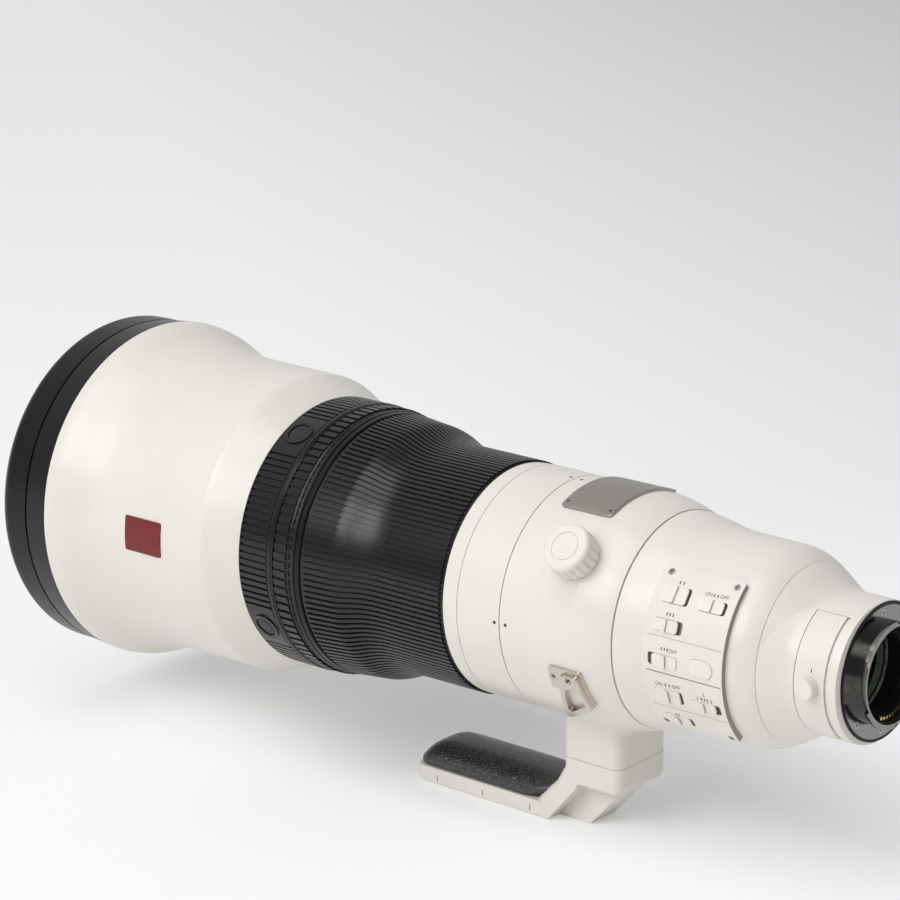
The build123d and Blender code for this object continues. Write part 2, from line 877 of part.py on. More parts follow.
# Tripod foot: a long plate on a slanting strut, with a narrow keel under the screws
foot_bottom = -102.0
foot_top = -94.5
foot_front = neck_x - 102.4
strut_foot_x = neck_x - 32.1
strut_knee = (neck_x - 20.6, -82.8)
block_front = neck_x - neck_length / 2
block_rear = neck_x + neck_length / 2
keel_half_width = 9.0
large_thread_r = 3.97
small_thread_r = 2.55
large_thread_x = foot_front + 28.8
small_thread_x = foot_front + 53.8
thread_depth = 6.3

with BuildPart() as tripod_foot:
    with BuildSketch(Plane.XZ) as side_view:
        with BuildLine():
            Polyline(
                (foot_front, foot_bottom),
                (foot_front, foot_top),
                (strut_foot_x, foot_top),
                strut_knee,
                (block_front, neck_bottom - 5.2),
                (block_front, neck_bottom),
                (block_rear, neck_bottom),
                (block_rear, block_bottom + 3.5),
                (block_rear - 1.5, block_bottom),
                (neck_x - 7.6, block_bottom),
                (neck_x - 9.1, block_bottom - 2.5),
                (neck_x - 24.4, foot_bottom),
                close=True,
            )
        make_face()
    extrude(side_view.sketch, amount=neck_half_width, both=True)
    upright = [edge for edge in tripod_foot.edges().filter_by(Axis.Z)
               if edge.center().X < foot_front + 1 and edge.center().Z < foot_top]
    fillet(upright, 6.0)
    outer = [edge for edge in tripod_foot.edges() if abs(abs(edge.center().Y) - neck_half_width) < 0.01]
    front_corners = [edge for edge in outer
                     if edge.center().Z > foot_top + 4
                     and strut_foot_x < edge.center().X < block_front + 0.1]
    rear_corners = [edge for edge in outer
                    if edge.center().Z > block_bottom + 0.5 and edge.center().X > block_rear - 1.6]
    fillet(front_corners + rear_corners, neck_corner)
    with BuildSketch(Plane.XZ) as keel_view:
        with BuildLine():
            Polyline(
                (neck_x - 26.0, foot_bottom),
                (neck_x - 6.8, foot_bottom),
                (block_rear - 1.0, block_bottom + 3.0),
                (block_rear - 6.0, block_bottom + 3.0),
                (neck_x - 12.0, block_bottom),
                close=True,
            )
        make_face()
        fillet([v for v in keel_view.vertices() if v.Z < foot_bottom + 0.1 and v.X > neck_x - 10], 4.0)
    extrude(keel_view.sketch, amount=keel_half_width, both=True)
    sole_edges = [edge for edge in tripod_foot.edges()
                  if abs(edge.center().Z - foot_bottom) < 0.01
                  and (edge.center().X < foot_front + 60 or abs(edge.center().Y) > neck_half_width - 0.01)]
    fillet(sole_edges, 1.2)
    block_edges = [edge for edge in tripod_foot.edges()
                   if abs(edge.center().Z - block_bottom) < 0.01
                   and (abs(edge.center().Y) > 15 or edge.center().X > block_rear - 2)]
    fillet(block_edges, 2.5)
    for x, thread_r in ((large_thread_x, large_thread_r), (small_thread_x, small_thread_r)):
        post(Plane(origin=(x, 0, foot_bottom), z_dir=(0, 0, 1)), thread_r, thread_depth, mode=Mode.SUBTRACT)
    for x, y in foot_screw_spots:
        head_face = Plane(origin=(x, y, block_bottom), x_dir=(1, 0, 0), z_dir=(0, 0, -1))
        screw_hole(head_face, foot_screw_head_r, foot_screw_head, foot_screw_r, foot_screw_length)
save(tripod_foot, "tripod_foot")

# Foot screws: four from below, through the foot's block and up into the neck
with BuildPart() as foot_screws:
    for x, y in foot_screw_spots:
        head_face = Plane(origin=(x, y, block_bottom), x_dir=(1, 0, 0), z_dir=(0, 0, -1))
        screw(head_face, foot_screw_head_r, foot_screw_head, foot_screw_r, foot_screw_length)
save(foot_screws, "foot_screws")

# Foot pad: a soft grip on top of the foot, shaped to the strut behind it
pad_top = -85.3
pad_side = 0.2
strut_slope = (strut_knee[1] - foot_top) / (strut_knee[0] - strut_foot_x)
pad_rear_x = strut_knee[0] - 1.6
pad_rear = (pad_rear_x, foot_top + strut_slope * (pad_rear_x - strut_foot_x))

with BuildPart() as foot_pad:
    with BuildSketch(Plane.XZ) as pad_view:
        with BuildLine():
            top_line = Bezier(
                (foot_front + 4.0, foot_top + 5.8),
                (foot_front + 16.0, pad_top + 0.6),
                (foot_front + 56.0, pad_top + 0.6),
                pad_rear,
            )
            nose = Bezier(
                (foot_front, foot_top),
                (foot_front - 0.6, foot_top + 3.6),
                (foot_front + 1.4, foot_top + 4.8),
                top_line @ 0,
            )
            Polyline(top_line @ 1, (strut_foot_x, foot_top), nose @ 0)
        make_face()
    extrude(pad_view.sketch, amount=neck_half_width - pad_side, both=True)
    crest = [edge for edge in foot_pad.edges()
             if abs(abs(edge.center().Y) - neck_half_width + pad_side) < 0.01
             and edge.center().Z > foot_top + 4.9
             and edge.center().X < strut_foot_x]
    fillet(crest, 3.5)
save(foot_pad, "foot_pad")

# Rear barrel: the white tube with the switch panel let into its side
panel_front = x_collar_rear + 14.3
panel_rear = x_cone - 11.8
panel_start = 128.7
panel_end = 226.3
panel_corner = 1.6
panel_floor_r = rear_bore_r + 2.1
x_curve_end = x_collar_rear + 28.3
x_cone_start = x_cone - 14.5
cone_groove = 0.35
cone_groove_depth = 0.6
cone_bore_r = cone_r - 3.0
cone_joint = 3.0
panel_screw_spots = [(x, angle) for x in (panel_front + 4.2, panel_rear - 3.2) for angle in (132.7, 222.3)]
panel_screw_r = 1.6
panel_screw_head = 1.1
panel_screw_shank = 0.8
panel_screw_length = 4.7

with BuildPart() as panel_blank:
    curved_plate(panel_front, panel_rear, panel_floor_r, panel_r, panel_start, panel_end)
    fillet(radial_edges(panel_blank), panel_corner)

with BuildPart() as rear_barrel:
    with BuildSketch(meridian(0)):
        with BuildLine():
            front_curve = Bezier(
                (x_collar_rear, rear_front_r),
                (x_collar_rear + 10.3, rear_front_r - 0.3),
                (x_collar_rear + 16.3, rear_r + 0.4),
                (x_curve_end, rear_r + 0.2),
            )
            rear_curve = Bezier(
                (x_cone_start, rear_r - 0.2),
                (x_cone_start + 4.5, rear_r - 0.3),
                (x_cone_start + 8.5, rear_r - 1.2),
                (x_cone - cone_groove, cone_r),
            )
            Line(front_curve @ 1, rear_curve @ 0)
            Polyline(
                rear_curve @ 1,
                (x_cone - cone_groove, cone_r - cone_groove_depth),
                (x_cone, cone_r - cone_groove_depth),
                (x_cone, cone_bore_r),
                (x_cone - cone_joint, cone_bore_r),
                (x_cone_start + 3.0, rear_bore_r),
                (x_spigot_rear, rear_bore_r),
                (x_spigot_rear, joint_r),
                (x_collar_rear, joint_r),
                front_curve @ 0,
            )
        make_face()
    revolve(axis=Axis.X)
    add(panel_blank.part, mode=Mode.SUBTRACT)
    for x, angle in panel_screw_spots:
        shank_hole(radial(x, angle, panel_r), panel_screw_head, panel_screw_shank, panel_screw_length)
save(rear_barrel, "rear_barrel")

# Switches: name, centre from the panel's front edge, angle, width, travel forwards and backwards
slider_length = 12.5
slider_floor_r = panel_r - 1.6
slider_top = 0.5
ridge_length = 1.7
ridge_height = 1.1
slider_corner = 1.2
short_travel = 1.2
long_travel = 2.2
switches = [
    ("af_mf_switch", 10.6, 144.7, 7.4, 0, short_travel),
    ("full_time_focus_switch", 29.5, 146.0, 5.3, 0, short_travel),
    ("range_limit_switch", 10.2, 161.2, 5.2, 0, long_travel),
    ("function_switch", 11.6, 179.8, 5.2, long_travel, 0),
    ("stabiliser_switch", 11.8, 199.7, 6.0, 0, short_travel),
    ("mode_switch", 29.9, 200.9, 4.4, 0, long_travel),
    ("beep_switch", 12.7, 217.0, 5.0, 0, short_travel),
]
tongue_length = 3.0
tongue_width = 1.6

set_x = panel_front + 30.0
set_angle = 179.0
set_length = 12.0
set_width = 7.5
set_floor_r = panel_r - 2.6
set_travel = 0.6
set_top = 0.6


def pill(plane, length, width, height, mode=Mode.ADD):
    """A block with fully rounded ends."""
    with BuildSketch(plane) as outline:
        SlotOverall(length, width)
    extrude(outline.sketch, amount=height, mode=mode)


with BuildPart() as switch_panel:
    add(panel_blank.part)
    for name, station, angle, width, forwards, backwards in switches:
        middle = panel_front + station + (backwards - forwards) / 2
        pocket_length = slider_length + forwards + backwards + 2 * small_gap
        floor = radial(middle, angle, slider_floor_r)
        block(floor, pocket_length, width + 2 * small_gap, 5, slider_corner + small_gap, Mode.SUBTRACT)
        slot = radial(middle, angle, panel_floor_r - 2)
        slot_length = tongue_length + forwards + backwards + 2 * small_gap
        block(slot, slot_length, tongue_width + 2 * small_gap, 5, mode=Mode.SUBTRACT)
    well = radial(set_x, set_angle, set_floor_r)
    pill(well, set_length + 2 * small_gap, set_width + 2 * small_gap, 8, Mode.SUBTRACT)
    for x, angle in panel_screw_spots:
        face = radial(x, angle, panel_r)
        screw_hole(face, panel_screw_r, panel_screw_head, panel_screw_shank, panel_screw_length)
save(switch_panel, "switch_panel")

for name, station, angle, width, forwards, backwards in switches:
    with BuildPart() as slider:
        x = panel_front + station
        bottom = slider_floor_r + 0.1
        block(radial(x, angle, bottom), slider_length, width, panel_r + slider_top - bottom, slider_corner)
        block(radial(x, angle, bottom), ridge_length, width, panel_r + slider_top + ridge_height - bottom)
        tongue_bottom = panel_floor_r + 0.15
        block(radial(x, angle, tongue_bottom), tongue_length, tongue_width, bottom - tongue_bottom)
    save(slider, name)

with BuildPart() as set_button:
    bottom = set_floor_r + set_travel + 0.1
    pill(radial(set_x, set_angle, bottom), set_length, set_width, panel_r + set_top - bottom)
    face = set_button.faces().sort_by_distance((set_x, 0, 0))[-1].edges()
    chamfer(face, 0.35)
save(set_button, "set_button")

with BuildPart() as panel_screws:
    for x, angle in panel_screw_spots:
        face = radial(x, angle, panel_r)
        screw(face, panel_screw_r, panel_screw_head, panel_screw_shank, panel_screw_length)
save(panel_screws, "panel_screws")

# Filter housing: the last white cone, with a side pocket for the drop-in filter holder
cover_top = 26.7
cover_bottom = -23.7
cover_inner_r = mount_r - 0.5
frame_half_width = 23.0
frame_x = x_cover_front + 4.0
frame_thickness = 6.0
mount_plate_r = 28.15
x_lip_end = -0.6
lip_end_r = 29.8
cover_slot_depth = 1.0
screw_circle_r = 25.3
mount_screw_count = 8
mount_screw_r = 1.5
mount_screw_head = 1.0
mount_shank_r = 0.8
mount_screw_length = 5.5
housing_curve_end = x_cover_front + 4.0

shifted_axis = Axis((0, -cover_shift, 0), (1, 0, 0))

with BuildPart() as cover_space:
    with BuildSketch(Plane.YZ.offset(x_cover_front)) as cover_hole:
        with Locations((-cover_r, (cover_top + cover_bottom) / 2)):
            Rectangle(2 * cover_r, cover_top - cover_bottom + 2 * small_gap)
        Circle(cover_inner_r - small_gap, mode=Mode.SUBTRACT)
    extrude(cover_hole.sketch, amount=cover_length)

with BuildPart() as slot_space:
    with BuildSketch(Plane.YZ.offset(x_cover_rear)) as slot_hole:
        with Locations((-cover_r, (cover_top + cover_bottom) / 2)):
            Rectangle(2 * cover_r, cover_top - cover_bottom)
        with Locations((-cover_shift, 0)):
            Circle(mount_r - cover_slot_depth, mode=Mode.SUBTRACT)
    extrude(slot_hole.sketch, amount=cover_slot)

with BuildPart() as bulge:
    with BuildSketch(Plane.XY):
        with BuildLine():
            bulge_curve = Bezier(
                (x_cone, -cone_r),
                (x_cone + 6.0, -cone_r + 2.4),
                (x_cover_front - 4.5, -cover_r - 0.5),
                (x_cover_front, -cover_r),
            )
            Polyline(
                bulge_curve @ 1,
                (x_slot, -cover_r),
                (x_lip_end, -lip_end_r - cover_shift),
                (x_lip_end, -cover_shift),
                (x_cone, -cover_shift),
                bulge_curve @ 0,
            )
        make_face()
    revolve(axis=shifted_axis)

with BuildPart() as filter_housing:
    with BuildSketch(meridian(0)):
        with BuildLine():
            cone_curve = Bezier(
                (x_cone, cone_r),
                (x_cone + 7.4, cone_r - 4.2),
                (x_cone + 12.0, mount_r + 0.9),
                (housing_curve_end, mount_r),
            )
            Polyline(
                cone_curve @ 1,
                (x_slot, mount_r),
                (x_lip_end, lip_end_r),
                (x_lip_end, light_bore_r),
                (x_cone - cone_joint + small_gap, light_bore_r),
                (x_cone - cone_joint + small_gap, cone_bore_r),
                (x_cone, cone_bore_r),
                cone_curve @ 0,
            )
        make_face()
    revolve(axis=Axis.X)
    add(bulge.part)
    ring(x_cone - 1, x_lip_end + 1, 0, light_bore_r, Mode.SUBTRACT)
    ring(x_lip, x_lip_end + 1, 0, gasket_r, Mode.SUBTRACT)
    add(cover_space.part, mode=Mode.SUBTRACT)
    add(slot_space.part, mode=Mode.SUBTRACT)
    with BuildSketch(Plane.YZ.offset(frame_x - small_gap)) as frame_space:
        Circle(frame_half_width + small_gap)
        with Locations((-20, 0)):
            Rectangle(40, 2 * (frame_half_width + small_gap))
    extrude(frame_space.sketch, amount=frame_thickness + 2 * small_gap, mode=Mode.SUBTRACT)
    for number in range(mount_screw_count):
        spot = axial(360 / mount_screw_count * number, screw_circle_r, 0)
        shank_hole(spot, mount_screw_head, mount_shank_r, mount_screw_length)
save(filter_housing, "filter_housing")

# Filter holder: the outer cover and the frame that carries the drop-in filter
filter_r = 20.25
filter_hole_r = 19.0
filter_thickness = 3.0
filter_knob_x = x_cover_front + 8.3
filter_knob_r = 4.3
filter_knob_top = -38.0
filter_stem_r = 1.2
filter_stem_end = -31.0

with BuildPart() as filter_holder:
    with BuildSketch(Plane.YZ.offset(x_cover_front + small_gap)) as cover_view:
        with Locations((-cover_shift, 0)):
            Circle(mount_r)
        Circle(cover_inner_r, mode=Mode.SUBTRACT)
        with Locations((-30, (cover_top + cover_bottom) / 2)):
            Rectangle(60, cover_top - cover_bottom, mode=Mode.INTERSECT)
    extrude(cover_view.sketch, amount=cover_length - 2 * small_gap)
    with BuildSketch(Plane.YZ.offset(frame_x)) as frame_view:
        with Locations((-20, 0)):
            Rectangle(40, 2 * frame_half_width)
        Circle(frame_half_width)
        Circle(cover_inner_r + 1, mode=Mode.INTERSECT)
        Circle(filter_hole_r, mode=Mode.SUBTRACT)
    extrude(frame_view.sketch, amount=frame_thickness)
    with BuildSketch(Plane.YZ.offset(frame_x + frame_thickness - filter_thickness)) as seat_view:
        Circle(filter_r)
    extrude(seat_view.sketch, amount=filter_thickness, mode=Mode.SUBTRACT)
    knob_face = Plane(origin=(filter_knob_x, filter_stem_end + 0.2, 0), x_dir=(1, 0, 0), z_dir=(0, -1, 0))
    post(knob_face, filter_stem_r + stem_gap, 10, mode=Mode.SUBTRACT)
save(filter_holder, "filter_holder")

with BuildPart() as filter_glass:
    with BuildSketch(Plane.YZ.offset(frame_x + frame_thickness - filter_thickness)) as disc:
        Circle(filter_r)
    extrude(disc.sketch, amount=filter_thickness - 0.4)
save(filter_glass, "filter_glass")

knurl_count = 24

with BuildPart() as filter_knob:
    knob_base = Plane(origin=(filter_knob_x, -cover_r - 0.15, 0), x_dir=(1, 0, 0), z_dir=(0, -1, 0))
    post(knob_base, filter_knob_r, -filter_knob_top - cover_r - 0.15)
    rim = filter_knob.faces().sort_by(Axis.Y)[0].edges()
    chamfer(rim, 0.5)
    with BuildSketch(knob_base.offset(0.8)) as knurls:
        with PolarLocations(filter_knob_r + 0.1, knurl_count):
            Circle(0.3)
    extrude(knurls.sketch, amount=5, mode=Mode.SUBTRACT)
    stem_face = Plane(origin=(filter_knob_x, filter_stem_end, 0), x_dir=(1, 0, 0), z_dir=(0, -1, 0))
    post(stem_face, filter_stem_r, cover_r + 0.15 + filter_stem_end)
save(filter_knob, "filter_knob")

# Camera mount: the rubber gasket, the steel bayonet and its screws
with BuildPart() as mount_gasket:
    ring(x_lip, 0, mount_plate_r, gasket_r)
save(mount_gasket, "mount_gasket")

bayonet_r = 21.7
claw_r = 22.9
bayonet_length = 6.4
claw_length = 1.8
claw_angle = 62
pin_count = 10
pin_circle_r = 18.8
pin_pitch = 6.6
first_pin = -107.6


with BuildPart() as mount_flange:
    turn([
        (x_lip, flange_bore_r),
        (bayonet_length, flange_bore_r),
        (bayonet_length, bayonet_r),
        (0, bayonet_r),
        (0, mount_plate_r),
        (x_lip, mount_plate_r),
    ])
    for middle in (-120, 0, 120):
        curved_plate(
            bayonet_length - claw_length,
            bayonet_length,
            bayonet_r - 0.5,
            claw_r,
            middle - claw_angle / 2,
            middle + claw_angle / 2,
        )
    for number in range(mount_screw_count):
        spot = axial(360 / mount_screw_count * number, screw_circle_r, 0)
        screw_hole(spot, mount_screw_r, mount_screw_head, mount_shank_r, mount_screw_length)
save(mount_flange, "mount_flange")

with BuildPart() as mount_screws:
    for number in range(mount_screw_count):
        spot = axial(360 / mount_screw_count * number, screw_circle_r, 0)
        screw(spot, mount_screw_r, mount_screw_head, mount_shank_r, mount_screw_length)
save(mount_screws, "mount_screws")

# Rear baffle, contact block and contacts
baffle_r = 17.0
baffle_length = 8.6
liner_gap = 0.05
liner_end = 5.6
block_length = 4.8
x_block = x_lip + block_length
pin_r = 0.75
pin_depth = 2.0
pin_rise = 0.4

with BuildPart() as rear_baffle:
    turn([
        (x_lip - baffle_length, baffle_r + 2.2),
        (x_lip, baffle_r),
        (x_lip, throat_r + liner_gap),
        (liner_end, throat_r + liner_gap),
        (liner_end, flange_bore_r - liner_gap),
        (x_lip, flange_bore_r - liner_gap),
        (x_lip, light_bore_r),
        (x_lip - baffle_length, light_bore_r),
    ])
save(rear_baffle, "rear_baffle")

with BuildPart() as contact_block:
    curved_plate(x_lip, x_block, throat_r - 2.3, throat_r, first_pin - 5, first_pin + 9 * pin_pitch + 5)
    for number in range(pin_count):
        spot = axial(first_pin + number * pin_pitch, pin_circle_r, x_block - pin_depth)
        post(spot, pin_r, pin_depth, mode=Mode.SUBTRACT)
save(contact_block, "contact_block")

with BuildPart() as contact_pins:
    for number in range(pin_count):
        spot = axial(first_pin + number * pin_pitch, pin_circle_r, x_block - pin_depth)
        post(spot, pin_r, pin_depth + pin_rise)
save(contact_pins, "contact_pins")

# Guide rods: two rods in the main tube that the focus carriage slides on
with BuildPart() as guide_rods:
    for angle in (0, 180):
        post(axial(angle, rod_circle_r, carrier_x), rod_r, x_tube_rear - carrier_x)
save(guide_rods, "guide_rods")

# Focus motor magnets: two curved strips on the wall of the main tube
magnet_thickness = 2.0
magnet_front = carrier_x + 8.0
magnet_rear = x_tube_rear - 8.0
magnet_half_angle = 25

with BuildPart() as focus_magnets:
    for middle in (90, 270):
        curved_plate(
            magnet_front,
            magnet_rear,
            tube_bore_r - magnet_thickness,
            tube_bore_r,
            middle - magnet_half_angle,
            middle + magnet_half_angle,
        )
save(focus_magnets, "focus_magnets")

# Focus carriage: the ring that carries the focusing lens element along the rods
focus_stroke = 6.0
carriage_x = (carrier_x + carrier_thickness + x_tube_rear) / 2
carriage_half = 6.0
carriage_r = 41.0
focus_glass_r = 35.0
sleeve_r = 2.6
sleeve_half = 10.0
coil_r = tube_bore_r - magnet_thickness - 0.6

with BuildPart() as focus_carriage:
    turn([
        (carriage_x - carriage_half, focus_glass_r),
        (carriage_x + carriage_half - 2, focus_glass_r),
        (carriage_x + carriage_half - 2, focus_glass_r - 1.5),
        (carriage_x + carriage_half, focus_glass_r - 1.5),
        (carriage_x + carriage_half, carriage_r),
        (carriage_x - carriage_half, carriage_r),
    ])
    for middle in (90, 270):
        curved_plate(
            carriage_x - carriage_half + 2,
            carriage_x + carriage_half - 2,
            carriage_r - 1,
            coil_r,
            middle - magnet_half_angle + 4,
            middle + magnet_half_angle - 4,
        )
    for angle in (0, 180):
        post(axial(angle, rod_circle_r, carriage_x - sleeve_half), sleeve_r, 2 * sleeve_half)
    for angle in (0, 180):
        start = axial(angle, rod_circle_r, carriage_x - 2 * sleeve_half)
        post(start, rod_r + stem_gap, 4 * sleeve_half, mode=Mode.SUBTRACT)
save(focus_carriage, "focus_carriage")

with BuildPart() as focus_element:
    with BuildSketch(meridian(0)):
        with BuildLine():
            front_face = dome(carriage_x - 2.0, focus_glass_r, -3.0)
            rear_face = dome(carriage_x + carriage_half - 2, focus_glass_r, -1.5)
            Line(front_face @ 0, rear_face @ 0)
            Line(front_face @ 1, rear_face @ 1)
        make_face()
    revolve(axis=Axis.X)
save(focus_element, "focus_element")

# Iris: a slotted housing with blades, held wide open
iris_x = x_tube_rear + 10.0
iris_length = 10.0
iris_plate = 1.5
iris_hole_r = 31.0
iris_groove_r = 38.5
blade_count = 11
blade_thickness = 0.25
blade_inner_r = 31.6
blade_outer_r = 36.6
blade_span = 72
pivot_r = 0.6
pivot_span = 3.0
pivot_circle_r = 37.6

with BuildPart() as iris_housing:
    turn([
        (iris_x, iris_hole_r),
        (iris_x + iris_plate, iris_hole_r),
        (iris_x + iris_plate, iris_groove_r),
        (iris_x + iris_length - iris_plate, iris_groove_r),
        (iris_x + iris_length - iris_plate, iris_hole_r),
        (iris_x + iris_length, iris_hole_r),
        (iris_x + iris_length, seat_bore_r),
        (iris_x, seat_bore_r),
    ])
save(iris_housing, "iris_housing")

with BuildPart() as iris_blades:
    blade_pitch = (iris_length - 2 * iris_plate - 2 * blade_thickness) / blade_count
    for number in range(blade_count):
        start = 360 / blade_count * number
        station = iris_x + iris_plate + blade_thickness + blade_pitch * number
        rear = station + blade_thickness
        curved_plate(station, rear, blade_inner_r, blade_outer_r, start, start + blade_span)
        curved_plate(station, rear, blade_outer_r - 1, pivot_circle_r + pivot_r, start, start + pivot_span)
        pivot = axial(start + pivot_span / 2, pivot_circle_r, iris_x + iris_plate)
        post(pivot, pivot_r, iris_length - 2 * iris_plate)
save(iris_blades, "iris_blades")

# Stabiliser: a housing, a frame that shifts sideways and a cell that shifts up and down in it
stab_x = iris_x + 20.0
stab_length = 28.0
stab_plate = 2.0
stab_wall = 2.5
stab_hole_r = 30.0
frame_r = 36.8
frame_inner_r = 30.5
yaw_front = stab_x + 4.0
yaw_length = 7.0
cell_front = yaw_front + yaw_length + 1.0
cell_ring_length = 9.0
cell_r = 34.0
stab_glass_r = 28.0
stab_stroke = 1.0
foot_r = 1.3
foot_circle_r = 33.5
cell_foot_circle_r = 32.4

with BuildPart() as stabiliser_housing:
    turn([
        (stab_x, stab_hole_r),
        (stab_x + stab_plate, stab_hole_r),
        (stab_x + stab_plate, seat_bore_r - stab_wall),
        (stab_x + stab_length, seat_bore_r - stab_wall),
        (stab_x + stab_length, seat_bore_r),
        (stab_x, seat_bore_r),
    ])
save(stabiliser_housing, "stabiliser_housing")

with BuildPart() as stabiliser_yaw_frame:
    ring(yaw_front, yaw_front + yaw_length, frame_inner_r, frame_r)
    for angle in (90, 210, 330):
        foot = axial(angle, foot_circle_r, stab_x + stab_plate + 0.05)
        post(foot, foot_r, yaw_front - stab_x - stab_plate)
save(stabiliser_yaw_frame, "stabiliser_yaw_frame")

with BuildPart() as stabiliser_cell:
    turn([
        (cell_front, stab_glass_r),
        (cell_front + cell_ring_length - 2, stab_glass_r),
        (cell_front + cell_ring_length - 2, stab_glass_r - 1.5),
        (cell_front + cell_ring_length, stab_glass_r - 1.5),
        (cell_front + cell_ring_length, cell_r),
        (cell_front, cell_r),
    ])
    for angle in (30, 150, 270):
        post(axial(angle, cell_foot_circle_r, cell_front - 0.95), foot_r, 1.5)
save(stabiliser_cell, "stabiliser_cell")

with BuildPart() as stabiliser_element:
    with BuildSketch(meridian(0)):
        with BuildLine():
            rear_edge = cell_front + cell_ring_length - 2
            front_face = dome(cell_front + 2.0, stab_glass_r, 1.5)
            Polyline(front_face @ 1, (rear_edge, 0), (rear_edge, stab_glass_r), front_face @ 0)
        make_face()
    revolve(axis=Axis.X)
save(stabiliser_element, "stabiliser_element")

# Circuit board: a ring-shaped board with its chips, in the rear barrel
board_x = x_spigot_rear + 3.0
board_thickness = 1.6
board_hole_r = 19.0
chips = [(20, 9, 9), (75, 6, 10), (130, 12, 7), (200, 7, 7), (255, 10, 6), (310, 6, 6)]

with BuildPart() as circuit_board:
    ring(board_x, board_x + board_thickness, board_hole_r, rear_bore_r)
    for angle, length, width in chips:
        block(axial(angle, 29.5, board_x + board_thickness), length, width, 1.2)
save(circuit_board, "circuit_board")
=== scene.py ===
"""Finishes, small detail pieces and stage of the super telephoto lens, laid out as a Blender add-on."""

import math

import bmesh
import bpy
from mathutils import Matrix, Vector


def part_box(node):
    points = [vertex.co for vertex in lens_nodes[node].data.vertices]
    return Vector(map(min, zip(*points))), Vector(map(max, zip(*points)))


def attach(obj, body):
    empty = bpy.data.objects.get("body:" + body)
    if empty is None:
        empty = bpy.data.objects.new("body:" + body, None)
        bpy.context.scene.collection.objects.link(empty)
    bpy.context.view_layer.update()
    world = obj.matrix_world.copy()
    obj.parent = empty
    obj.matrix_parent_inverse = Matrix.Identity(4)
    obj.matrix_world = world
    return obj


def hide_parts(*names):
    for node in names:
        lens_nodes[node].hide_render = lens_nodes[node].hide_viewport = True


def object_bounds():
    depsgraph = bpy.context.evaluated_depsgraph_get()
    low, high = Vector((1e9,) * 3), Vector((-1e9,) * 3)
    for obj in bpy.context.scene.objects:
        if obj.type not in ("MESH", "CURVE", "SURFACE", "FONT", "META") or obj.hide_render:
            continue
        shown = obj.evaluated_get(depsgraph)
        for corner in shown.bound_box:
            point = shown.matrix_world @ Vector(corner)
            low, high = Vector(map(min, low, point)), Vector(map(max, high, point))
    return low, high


bl_info = {
    "name": "Super telephoto lens",
    "version": (1, 0, 0),
    "blender": (4, 5, 0),
    "location": "View3D > Sidebar > Lens",
    "description": "Dresses the packed lens with its finishes, its marks and its leather pad",
    "category": "Object",
}

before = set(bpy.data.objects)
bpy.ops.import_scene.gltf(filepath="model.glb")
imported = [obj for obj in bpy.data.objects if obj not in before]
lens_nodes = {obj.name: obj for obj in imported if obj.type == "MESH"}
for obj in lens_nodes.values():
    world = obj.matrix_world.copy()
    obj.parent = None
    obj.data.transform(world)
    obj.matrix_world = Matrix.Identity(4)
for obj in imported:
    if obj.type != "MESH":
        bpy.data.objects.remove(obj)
cad_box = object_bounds()
mm = 0.001
size_per_capital = 1.38  # type size over the height of its capitals


def colour(label, about, value):
    """A colour that a user may change, as linear red, green and blue."""
    return bpy.props.FloatVectorProperty(
        name=label, description=about, subtype="COLOR", size=3, min=0.0, max=1.0, default=value
    )


def length(label, about, value):
    """A size that a user may change, in metres."""
    return bpy.props.FloatProperty(
        name=label, description=about, subtype="DISTANCE", unit="LENGTH", precision=5, min=0.0, default=value
    )


def share(label, about, value):
    """A share from 0 to 1."""
    return bpy.props.FloatProperty(
        name=label, description=about, subtype="FACTOR", min=0.0, max=1.0, default=value
    )


def power(label, about, value):
    """A lamp's power, in watts."""
    return bpy.props.FloatProperty(name=label, description=about, unit="POWER", min=0, default=value)


class LensColours(bpy.types.PropertyGroup):
    """Colours of the lens's finishes."""

    enamel: colour("Enamel", "Warm off-white paint of the barrels and the foot", (0.775, 0.745, 0.69))
    knob_white: colour("White plastic", "Knob, sliders and set button", (0.80, 0.77, 0.715))
    black_paint: colour("Black paint", "Satin black of the front rings", (0.006, 0.006, 0.0065))
    inner_black: colour("Inner black", "Matte black of what light mustn't catch", (0.006, 0.006, 0.006))
    grip_rubber: colour("Grip rubber", "Ribbed rubber of the turning rings", (0.0075, 0.0075, 0.008))
    badge_red: colour("Badge red", "Glossy red tile on the barrel", (0.17, 0.007, 0.007))
    plate_metal: colour("Plate metal", "Grey-brown metal of the plate on the collar", (0.42, 0.40, 0.36))
    bracket_metal: colour("Bracket metal", "Pale nickel of the strap brackets", (0.66, 0.59, 0.53))
    steel: colour("Steel", "Bright steel of the mount and the screws", (0.42, 0.41, 0.395))
    gilt: colour("Gilt", "Gold of the contact pins", (0.83, 0.56, 0.23))
    pad_leather: colour("Leather", "Black leather of the foot's pad", (0.010, 0.010, 0.0105))
    mark_grey: colour("Marks", "Dark grey of the printed marks", (0.045, 0.042, 0.038))
    line_grey: colour("Lines", "Shade in the fine lines cut into the panel", (0.33, 0.31, 0.265))
    gap_shade: colour("Gaps", "Shade in the fine gaps between pieces", (0.16, 0.14, 0.115))
    wall_shade: colour("Edges", "Shade of the panel's edge and of its slots", (0.27, 0.25, 0.21))
    board_green: colour("Board", "Solder mask of the circuit board", (0.012, 0.085, 0.035))
    glass_tint: colour("Coating", "Tint that the lens coating gives to reflections", (0.55, 0.75, 0.62))


